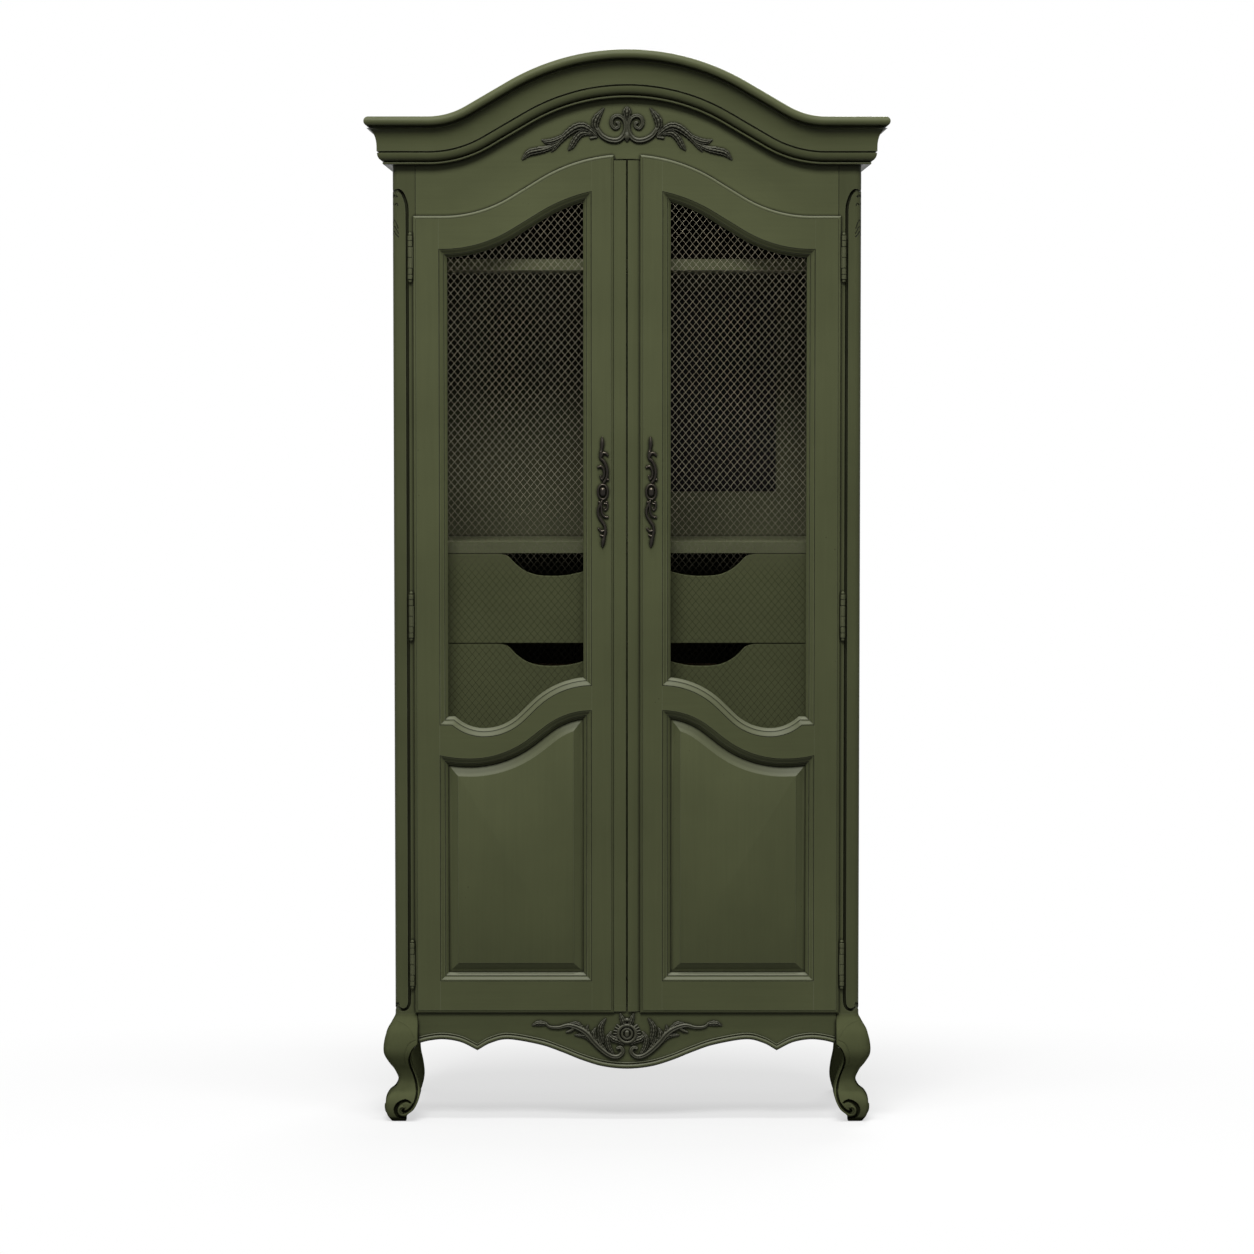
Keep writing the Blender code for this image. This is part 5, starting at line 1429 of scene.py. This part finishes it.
@dataclass(frozen=True)
class DoorPlan:
    """Sizes and outlines that the pieces of a door share; u is the distance from the middle of the hutch."""

    bottom: float = 0.2192
    seat: float = 0.2348
    shoulder: float = 1.8181
    outer: float = 0.4265
    stile: float = 0.3755
    strip: float = 0.0262
    inner: float = 0.0705
    rail: float = 0.0655
    ledge: float = 0.8007
    ledge_run: float = 0.0245
    dip_run: float = 0.064
    dip: float = 0.0235
    panel_low: float = 0.284
    panel_dip: float = 0.7339
    panel_run: float = 0.060
    panel_end: float = 0.0068
    face: float = FRONT - 0.009
    lip_back: float = FRONT - 0.0005
    back: float = FRONT + 0.015
    lip: float = 0.011
    count: int = 48
    arch: Ogee = Ogee(0.368, 0.1222, 0.71, 0.56)
    rail_arch: Ogee = Ogee(0.2165, 0.103, 0.73, 0.57)
    panel_arch: Ogee = Ogee(0.245, 0.0974, 0.75, 0.44)

    def head(self, u: float, offset: float = 0.0) -> float:
        """Height of the door's upper edge or of a line parallel to it."""
        return self.shoulder + self.arch.height(u, offset)

    def rail_head(self, into: float) -> Loop:
        """Upper edge of the middle rail, or a line parallel to it.

        Args:
            into: Distance into the mesh opening.

        Returns:
            The line, from the middle outwards.
        """
        low, dip_u = self.ledge - self.dip, self.inner + self.rail_arch.span
        rise = [
            (u, low + self.rail_arch.height(u - self.inner, into)) for u in steps(self.inner + into, dip_u, self.count)
        ]
        radius = (self.dip_run**2 + self.dip**2) / (2 * self.dip)
        turn = asin(self.dip_run / radius)
        dip = [
            (dip_u + (radius - into) * sin(a), low + radius - (radius - into) * cos(a))
            for a in steps(0.0, turn, self.count // 3)[1:-1]
        ]
        corner = self.stile - self.ledge_run - into * tan(turn / 2)
        return rise + dip + [(corner, self.ledge + into), (self.stile - into, self.ledge + into)]

    def panel_head(self, into: float) -> Loop:
        """Lower edge of the middle rail, or a line parallel to it.

        Args:
            into: Distance into the panel opening.

        Returns:
            The line, from the middle outwards.
        """
        dip_u = self.inner + self.panel_arch.span
        rise = [
            (u, self.panel_dip + self.panel_arch.height(u - self.inner, -into))
            for u in steps(self.inner + into, dip_u, self.count)
        ]
        radius = (self.panel_run**2 + self.panel_end**2) / (2 * self.panel_end)
        end = [
            (dip_u + run, self.panel_dip + radius - sqrt((radius + into) ** 2 - run * run))
            for run in steps(0.0, self.panel_run - into, self.count // 4)[1:]
        ]
        return rise + end

    def light(self, into: float = 0.0) -> Loop:
        """Closed outline of the mesh opening, or one inside it."""
        line = steps(self.stile - into, self.inner + into, self.count)
        return self.rail_head(into) + [(u, self.head(u, -into) - self.rail) for u in line]

    def panel(self, into: float = 0.0) -> Loop:
        """Closed outline of the panel opening, or one inside it."""
        low = self.panel_low + into
        return [(self.stile - into, low), (self.inner + into, low)] + self.panel_head(into)


PLAN = DoorPlan()


@dataclass(frozen=True)
class DoorFrame:
    """Stiles and rails with a rounded lip, in front of the opening and let into it."""

    round_over: float = 0.0044
    bead: float = 0.0060
    quirk: float = 0.0013
    slit: float = 0.0016
    inset_face: float = FRONT - 0.005
    inset_outer: float = 0.418
    strip_sections: tuple[Loop, Loop] = (
        ((0.0, 0.0054), (0.0080, 0.0048), (0.0190, 0.0038), (0.0246, 0.0032)),
        ((0.0, 0.0028), (0.0080, 0.0030), (0.0140, 0.0046), (0.0200, 0.0070), (0.0228, 0.0078), (0.0246, 0.0078)),
    )

    def outlines(self) -> dict[str, tuple[Loop, Loop, Loop]]:
        """Outlines of each member's lip, of its flat face and of the part let into the opening.

        Returns:
            Three outlines for the name of each member.
        """
        p, bead = PLAN, self.bead

        def upright(inner: float, outer: float, offset: float, low: float) -> Loop:
            """Outline of a stile up to the arch or a line parallel to it."""
            return [(inner, low), (outer, low)] + [(u, p.head(u, offset)) for u in steps(outer, inner, 16)]

        line = steps(p.inner, p.stile, p.count)
        foot = [(u, p.head(u) - p.rail) for u in reversed(line)]
        low, sunk = p.bottom, p.seat
        bar = [(p.stile, p.panel_low), (p.inner, p.panel_low)]
        middle = p.rail_head(0.0) + p.panel_head(0.0)[::-1]
        return {
            "hinge_stile": (
                upright(p.stile, p.outer, 0.0, low),
                upright(p.stile, p.outer - bead, -bead, low + bead),
                upright(p.stile, self.inset_outer, -p.lip, sunk),
            ),
            "meeting_stile": (
                upright(p.strip, p.inner, 0.0, low),
                upright(p.strip + bead, p.inner, -bead, low + bead),
                upright(p.strip, p.inner, -p.lip, sunk),
            ),
            "top_rail": tuple([(u, p.head(u, offset)) for u in line] + foot for offset in (0.0, -bead, -p.lip)),
            "middle_rail": (middle, middle, middle),
            "bottom_rail": tuple([(p.inner, z), (p.stile, z), *bar] for z in (low, low + bead, sunk)),
        }

    def on_lip(self, point: Vector) -> bool:
        """Whether a point lies on the front edge of the door's outline.

        Args:
            point: The middle of an edge of the lip.

        Returns:
            Whether that edge is rounded.
        """
        u, top = abs(point.x), PLAN.head(point.x)
        rim = point.z < PLAN.bottom + 1e-5 or point.z > top - 2e-4
        rim = rim or u > PLAN.outer - 1e-5 or u < PLAN.strip + 1e-5
        return rim and point.y < PLAN.face + self.quirk + 1e-5

    def strip(self, side: int) -> Shape:
        """The part of a meeting stile that is cut back: sloped on one door, coved on the other.

        Args:
            side: -1 for the left one and 1 for the right one.

        Returns:
            The strip.
        """
        face = [(self.slit + u, PLAN.face + back) for u, back in self.strip_sections[side > 0]]
        shape = Shape()
        for back, low, high in (
            (PLAN.lip_back, PLAN.bottom + 0.003, PLAN.seat),
            (PLAN.back, PLAN.seat, PLAN.head(0.0, -PLAN.lip) - 0.001),
        ):
            section = [*face, (PLAN.strip + 0.001, back), (self.slit, back)]
            shape.loft([[(side * u, y, z) for u, y in section] for z in (low, high)])
        return shape

    def build(self, word: str, side: int) -> None:
        """Builds the five members of one door.

        Args:
            word: Left or right.
            side: -1 for the left one and 1 for the right one.
        """
        for label, (lip, flat, inset) in self.outlines().items():
            made = Shape().slab(lip, PLAN.face + self.quirk, PLAN.lip_back, side).object(f"{word}_{label}")
            bm = bmesh.new()
            bm.from_mesh(made.data)
            rims = [e for e in bm.edges if self.on_lip((e.verts[0].co + e.verts[1].co) / 2)]
            if rims:
                bmesh.ops.bevel(bm, geom=rims, offset=self.round_over, segments=6, profile=0.5, affect="EDGES")
            bm.to_mesh(made.data)
            bm.free()
            shape = Shape().add([v.co for v in made.data.vertices], [tuple(f.vertices) for f in made.data.polygons])
            bpy.data.objects.remove(made)
            shape.slab(flat, PLAN.face, PLAN.face + 2 * self.quirk, side)
            shape.slab(inset, self.inset_face, PLAN.back, side)
            if label == "meeting_stile":
                shape.join(self.strip(side))
            paint = STILE_PAINT if "stile" in label else RAIL_PAINT
            settle(shape.object(f"{word}_{label}"), f"{word}_door", paint.material(), [f"{word}_door_{label}"])


@dataclass(frozen=True)
class DoorFill:
    """Mouldings round both openings and the raised panel of a door."""

    width: float = 0.0170
    outer: tuple[Point2, Point2] = ((0.0013, 0.0007), (0.0099, 0.0056))
    inner: tuple[Point2, Point2] = ((0.0111, 0.0058), (0.0162, 0.0100))
    line: float = 0.0024
    quirk: float = 0.0072
    depth: float = 0.0135
    bevel: float = 0.0185
    field_back: float = 0.0030
    field_step: float = 0.0012
    board: float = 0.0085

    def moulding(self, loop: Outline, side: int) -> Shape:
        """Two ogees round an opening with a quirk between them.

        Args:
            loop: Gives the outline at a distance into the opening.
            side: -1 for the left one and 1 for the right one.

        Returns:
            The moulding.
        """
        waves = [
            [
                (start + (end - start) * s, high + (low - high) * (0.6 * s + 0.4 * (1 - cos(pi * s)) / 2))
                for s in steps(0.0, 1.0, 8)
            ]
            for (start, high), (end, low) in (self.outer, self.inner)
        ]
        (first, _), (before, _) = self.outer
        (after, _), (_, lowest) = self.inner
        section = [(0.0001, self.line), (first - 0.0003, self.line), *waves[0], (before + 0.0002, self.quirk)]
        section += [(after - 0.0002, self.quirk), *waves[1], (self.width, lowest + 0.0018)]
        section += [(self.width, self.depth), (0.0001, self.depth)]
        return Shape().border(loop, [(into, PLAN.face + back) for into, back in section], side, True)

    def raised_panel(self, side: int) -> Shape:
        """The panel with a hollow bevel round its field.

        Args:
            side: -1 for the left one and 1 for the right one.

        Returns:
            The panel.
        """
        seat, front = self.width + 2 * GAP, PLAN.face + self.depth + GAP
        field_front = PLAN.face + self.field_back
        hollow = field_front + self.field_step
        profile = [(2 * GAP, front + self.board), (2 * GAP, front), (seat, front)]
        for s in steps(0.0, 1.0, 6)[1:]:
            profile.append((seat + self.bevel * s, hollow + (front - hollow) * (1 - s) * (1.1 - 0.1 * s)))
        edge = seat + self.bevel
        profile += [(edge + 0.0003, field_front + 0.0003), (edge + 0.0012, field_front)]
        return Shape().border(PLAN.panel, profile, side)

    def build(self, word: str, side: int) -> None:
        """Builds both mouldings and the panel of one door.

        Args:
            word: Left or right.
            side: -1 for the left one and 1 for the right one.
        """
        body = f"{word}_door"
        for label, loop in (("mesh", PLAN.light), ("panel", PLAN.panel)):
            made = self.moulding(loop, side).object(f"{word}_{label}_ogee_moulding")
            settle(made, body, MOULDING_PAINT.material(), [f"{body}_{label}_moulding"])
        made = self.raised_panel(side).object(f"{word}_raised_panel")
        settle(made, body, STILE_PAINT.material(), [f"{body}_panel"])


@dataclass(frozen=True)
class WireMesh:
    """Woven wire in diamonds behind the upper moulding."""

    wide: float = 0.0138
    tall: float = 0.0164
    wire: float = 0.00026
    crimp: float = 0.00042
    margin: float = 0.010
    plane: float = FRONT + 0.0048
    rim: Point2 = (0.0006, 0.0160)
    rim_depth: Point2 = (FRONT + 0.0038, FRONT + 0.0055)
    sides: int = 5
    steps_per_cell: int = 4

    def inside(self, loop: np.ndarray, points: np.ndarray) -> np.ndarray:
        """Which points lie inside a closed outline.

        Args:
            loop: Rows of the outline.
            points: Rows to test.

        Returns:
            One truth value for each point.
        """
        held = np.zeros(len(points), bool)
        for (ax, az), (bx, bz) in zip(loop, np.roll(loop, -1, axis=0)):
            crosses = (az > points[:, 1]) != (bz > points[:, 1])
            held ^= crosses & (points[:, 0] < (bx - ax) * (points[:, 1] - az) / (bz - az + 1e-12) + ax)
        return held

    def build(self, word: str, side: int) -> None:
        """Weaves the wires of one door.

        Args:
            word: Left or right.
            side: -1 for the left one and 1 for the right one.
        """
        loop = np.array(PLAN.light(self.margin))
        low, high = loop.min(axis=0), loop.max(axis=0)
        shape = Shape()
        depth = np.array((0.0, 1.0, 0.0))
        angles = turns(self.sides)
        fine = 0.5 / self.steps_per_cell
        for lean in (-1, 1):
            ends = [u / self.wide + lean * z / self.tall for u in (low[0], high[0]) for z in (low[1], high[1])]
            for number in range(int(min(ends)), int(max(ends)) + 1):
                along = np.arange(low[1] / self.tall, high[1] / self.tall + fine, fine)
                z = along * self.tall
                u = (number - lean * along) * self.wide
                cross = (u / self.wide - lean * along) * pi
                y = self.plane + lean * self.crimp * np.cos(cross + number * pi)
                held = self.inside(loop, np.column_stack([u, z]))
                places = np.nonzero(held)[0]
                for run in np.split(places, np.nonzero(np.diff(places) > 1)[0] + 1):
                    if len(run) < 2:
                        continue
                    path = np.column_stack([side * u[run], y[run], z[run]])
                    ahead = path[-1] - path[0]
                    across = np.cross(ahead / np.linalg.norm(ahead), depth)
                    ring = self.wire * (np.outer(np.cos(angles), across) + np.outer(np.sin(angles), depth))
                    shape.loft(path[:, None, :] + ring)
        (start, end), (near, far) = self.rim, self.rim_depth
        shape.border(PLAN.light, ((start, near), (end, near), (end, far), (start, far)), side, True)
        made = shape.object(f"{word}_woven_mesh")
        settle(made, f"{word}_door", WIRE.material(), [f"{word}_door_mesh"], 80.0)


@dataclass(frozen=True)
class Hinges:
    """Barrel hinges with ball finials between the posts and the doors."""

    u: float = 0.432
    y: float = FRONT - 0.0056
    radius: float = 0.0047
    pin: float = 0.0022
    barrel: float = 0.087
    knuckle: float = 0.042
    ball: float = 0.0036
    wing: float = 0.0102
    wing_thick: float = 0.0015
    ease: float = 0.0011
    play: float = 0.0003
    leaf: float = 0.0012
    arm: float = 0.0016
    sides: int = 28
    heights: Sequence[float] = (0.3174, 1.0196, 1.7354)

    def ring(self, low: float, high: float) -> Loop:
        """Profile of a knuckle with eased ends, from the bottom up."""
        r, ease = self.radius, self.ease
        return [(r - ease, low), (r, low + ease), (r, high - ease), (r - ease, high)]

    def frame_half(self, side: int, height: float) -> Shape:
        """The knuckles, pin, finials and wings on the post.

        Args:
            side: -1 for the left one and 1 for the right one.
            height: Height of its middle.

        Returns:
            The half.
        """
        end, split = self.barrel / 2, self.knuckle / 2 + self.play
        third = (end - split) * 0.45
        crest = end + 0.0029
        ball = [(self.ball * sin(a), crest + self.ball * cos(a)) for a in steps(radians(135), 0.06, 8)]
        half = [(self.pin, split), *self.ring(split, end - third), *self.ring(end - third, end), *ball]
        profile = [(r, -z) for r, z in half[::-1]] + half
        shape = Shape().turn(profile, (side * self.u, self.y, height), self.sides)
        near, far = side * (self.u - self.wing / 2), side * (self.u + self.wing / 2)
        for sign in (1, -1):
            low, high = sorted((height + sign * (split + self.play), height + sign * (end - self.play)))
            shape.block((near, FRONT - self.wing_thick, low), (far, FRONT - GAP, high))
        return shape

    def door_half(self, side: int, height: float) -> Shape:
        """The middle knuckle with its arm and leaf on the door.

        Args:
            side: -1 for the left one and 1 for the right one.
            height: Height of its middle.

        Returns:
            The half.
        """
        half = self.knuckle / 2
        bore = self.pin + self.play
        line = [(bore, -half), *self.ring(-half, 0.0), *self.ring(0.0, half), (bore, half)]
        rings = [
            [(side * self.u + r * cos(a), self.y + r * sin(a), height + z) for r, z in line]
            for a in turns(self.sides)
        ]
        shape = Shape().loft(rings, True)
        near = PLAN.outer + GAP
        shape.block(
            (side * near, PLAN.face + self.leaf, height - half + GAP),
            (side * (near + self.leaf), PLAN.lip_back - self.leaf, height + half - GAP),
        )
        return shape.block(
            (side * (near + self.leaf / 2), self.y - self.arm / 2, height - half + 2 * GAP),
            (side * (self.u - 0.0036), self.y + self.arm / 2, height + half - 2 * GAP),
        )

    def build(self, word: str, side: int) -> None:
        """Builds the three hinges of one door.

        Args:
            word: Left or right.
            side: -1 for the left one and 1 for the right one.
        """
        paint = HINGE_PAINT.material()
        for i, height in enumerate(self.heights, 1):
            made = self.frame_half(side, height).object(f"{word}_hinge_post_half_{i}")
            settle(made, CARCASS, paint, [f"{word}_frame_hinge_{i}"])
            made = self.door_half(side, height).object(f"{word}_hinge_door_half_{i}")
            settle(made, f"{word}_door", paint, [f"{word}_door_hinge_leaf_{i}"])


@dataclass(frozen=True)
class Ornament:
    """Carved branches on the frieze and the apron, and the cast pulls on the doors."""

    crown_up: float = 1.986
    apron_up: float = 0.1763
    pull_across: float = 0.04835
    pull_up: float = 1.2688
    carving_cell: float = 0.55
    pull_cell: float = 0.4

    def build(self) -> None:
        """Builds both carvings and both pulls."""
        face = FRONT - GAP
        for name, strokes, up in (("crown", CROWN_STROKES, self.crown_up), ("apron", APRON_STROKES, self.apron_up)):
            made = Relief(strokes, self.carving_cell).shape((0.0, face, up)).object(f"{name}_acanthus")
            settle(made, CARCASS, CARVED_PAINT.material(), [f"{name}_carving"], sharp=80.0)
        for word, side in SIDES:
            place = (side * self.pull_across, PLAN.face - GAP, self.pull_up)
            made = Relief(HANDLE_STROKES, self.pull_cell, False).shape(place).object(f"{word}_scroll_pull")
            settle(made, f"{word}_door", BRONZE.material(), [f"{word}_door_handle"], 80.0)


@dataclass(frozen=True)
class Boards:
    """Plain boards of the carcass and the drawers, which keep their shape and get eased edges and a finish."""

    ease: float = 0.0009
    dark_ease: float = 0.0005
    dark_low: Point3 = (0.020, BACK - 0.0168, 1.2594)
    dark_high: Point3 = (0.3094, BACK - 0.0153, 1.6748)

    def build(self) -> None:
        """Paints the boards and adds a near-black board on the back that stands in for shade."""

        def pair(label: str) -> tuple[str, str]:
            """The left and the right board of that name."""
            return f"{label}_left", f"{label}_right"

        for names, finish, slot in (
            (pair("side_panel"), UPRIGHT_PAINT, "olive_paint"),
            (("roof_board", "bottom_board", *pair("side_apron"), *pair("side_rail")), LEVEL_PAINT, "olive_paint"),
            (("frieze_board",), FRIEZE_PAINT, "olive_paint"),
            (("back_panel",), BACK_PAINT, "olive_paint"),
            (("upper_shelf", "middle_shelf"), SHELF_PAINT, "inside_paint"),
            ((*pair("shelf_batten"), *pair("drawer_cheek")), INSIDE_PAINT, "inside_paint"),
            (("upper_drawer_box", "lower_drawer_box"), RAW_TIMBER, "raw_timber"),
        ):
            for name in names:
                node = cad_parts[name]
                node.data.materials.clear()
                node.data.materials.append(finish.material())
                soften(node, self.ease)
                LOG.info("%s: painted", name)
        # A near-black board on the back that stands in for the shade seen through the mesh.
        made = soften(Shape().block(self.dark_low, self.dark_high).object("dark_back_board"), self.dark_ease)
        settle(made, CARCASS, SHADE_STAND_IN.material())


@dataclass(frozen=True)
class DrawerFronts:
    """Drawer fronts with two scoops, given as (distance from the middle, depth) from the outer end inwards."""

    ease: float = 0.0012
    scoop: Sequence[Point2] = (
        (0.2600, 0.0), (0.2509, 0.0012), (0.2387, 0.0060), (0.2238, 0.0215), (0.2049, 0.0352), (0.1812, 0.0433),
        (0.1508, 0.0453), (0.1237, 0.0440), (0.1034, 0.0400), (0.0865, 0.0352), (0.0690, 0.0255), (0.0540, 0.0090),
        (0.0440, 0.0015), (0.0360, 0.0),
    )

    def build(self) -> None:
        """Builds both fronts in the places of the plain ones."""
        line = spline(self.scoop, 6)
        for tier in ("upper", "lower"):
            corners = np.array([v.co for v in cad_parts[f"{tier}_drawer_front"].data.vertices])
            (wide, near, low), (_, far, high) = corners.min(axis=0), corners.max(axis=0)
            half = [(wide, high), *((-u, high - max(depth, 0.0)) for u, depth in line)]
            outline = [(wide, low), *half, *((-u, z) for u, z in half[::-1]), (-wide, low)]
            made = soften(Shape().slab(outline, near, far).object(f"{tier}_scooped_front"), self.ease)
            settle(made, f"{tier}_drawer", INSIDE_PAINT.material(), [f"{tier}_drawer_front"])


# ---- studio ----


@dataclass(frozen=True)
class Studio:
    """Pale floor, white surround, soft light and the camera at the photograph's view."""

    camera: Point3 = (0.0, FRONT - 8.5, 1.5326)
    tilt: float = 3.6
    lens: float = 122.0
    fill: float = 0.27
    key: float = 312.0
    top: float = 215.0
    behind: float = 200.0
    glow: float = 0.60
    floor_half: float = 30.0
    floor_grey: float = 0.29
    floor_stretch: Point3 = (1.0, 1.8, 1.0)
    floor_fade: Point2 = (0.8, 2.2)

    def floor(self) -> None:
        """A wide pale floor."""
        half = self.floor_half
        corners = [(-half, -half, 0.0), (half, -half, 0.0), (half, half, 0.0), (-half, half, 0.0)]
        made = Shape().add(corners, [(0, 1, 2, 3)]).object("studio_floor")
        material = bpy.data.materials.new("studio_floor")
        material.use_nodes = True
        g = Graph(material.node_tree)
        place = g.add("VectorMath", operation="LENGTH")
        around = g.add("Mapping", Vector=g.add("TexCoord").outputs["Object"], Scale=self.floor_stretch)
        g.feed(around.outputs["Vector"], place.inputs[0])
        far = g.span(place.outputs["Value"], *self.floor_fade, 0.0, 1.0)
        seen = g.math("MULTIPLY", self.background_seen(g), g.span(far, 0.0, 1.0, self.glow, 1.0))
        tone = g.mix(far, (self.floor_grey,) * 3, (0.0, 0.0, 0.0))
        white = (1.0, 1.0, 1.0)
        shader = g.add(
            "BsdfPrincipled",
            Base_Color=tone,
            Roughness=0.9,
            Specular_IOR_Level=0.0,
            Emission_Color=white,
            Emission_Strength=seen,
        )
        g.add("OutputMaterial", Surface=shader.outputs["BSDF"])
        made.data.materials.append(material)

    def background_seen(self, g: Graph) -> bpy.types.NodeSocket:
        """1 on the rays that show the background: to the camera, and in what mirrors or refracts it.

        Args:
            g: Graph of the floor or of the surround.

        Returns:
            The mask.
        """
        path = g.add("LightPath").outputs
        seen = g.math("MAXIMUM", path["Is Camera Ray"], path["Is Glossy Ray"])
        return g.math("MAXIMUM", seen, path["Is Transmission Ray"])

    def surround(self) -> None:
        """A white surround that lights softly and is seen as white."""
        world = bpy.data.worlds.new("surround")
        world.use_nodes = True
        g = Graph(world.node_tree)
        seen = self.background_seen(g)
        shown = g.add("Background", Color=(1.0, 1.0, 1.0), Strength=1.0)
        light = g.add("Background", Color=(1.0, 1.0, 1.0), Strength=self.fill)
        both = g.add("MixShader")
        for value, socket in zip((seen, light.outputs[0], shown.outputs[0]), both.inputs):
            g.feed(value, socket)
        g.add("OutputWorld", Surface=both.outputs[0])
        bpy.context.scene.world = world

    def lamp(self, name: str, place: Point3, target: Point3, size: Point2, power: float) -> None:
        """A soft rectangular lamp that points at a target.

        Args:
            name: Its name.
            place: Where it stands.
            target: What it points at.
            size: Its width and height.
            power: Its power in watts.
        """
        light = bpy.data.lights.new(name, "AREA")
        light.shape = "RECTANGLE"
        light.size, light.size_y = size
        light.energy = power
        made = linked(name, light)
        made.location = place
        made.rotation_euler = (Vector(target) - Vector(place)).to_track_quat("-Z", "Y").to_euler()

    def build(self) -> None:
        """Sets up the floor, light and camera."""
        self.floor()
        self.surround()
        self.lamp("key_light", (-0.5, -4.2, 5.4), (0.0, -0.1, 0.8), (3.0, 1.8), self.key)
        self.lamp("top_light", (0.0, -1.5, 7.0), (0.0, -0.25, 1.0), (3.0, 0.8), self.top)
        self.lamp("back_light", (1.2, 5.5, 4.5), (0.0, 0.2, 1.0), (3.0, 1.8), self.behind)
        camera = bpy.data.cameras.new("photo_view")
        camera.lens = self.lens
        camera.sensor_width = 36.0
        camera.clip_end = 100.0
        made = linked("photo_view", camera)
        made.location = self.camera
        made.rotation_euler = (radians(90 - self.tilt), 0.0, 0.0)
        scene = bpy.context.scene
        scene.camera = made
        scene.view_settings.view_transform = "Standard"


def main() -> None:
    """Builds every piece in order."""
    logging.basicConfig(level=logging.INFO, format="%(message)s")
    Boards().build()
    DrawerFronts().build()
    Cornice().build()
    FrontApron().build()
    FrontPost().build()
    RearPost().build()
    for word, side in SIDES:
        DoorFrame().build(word, side)
        DoorFill().build(word, side)
        WireMesh().build(word, side)
        Hinges().build(word, side)
    Ornament().build()
    Studio().build()


if __name__ == "__main__":
    main()
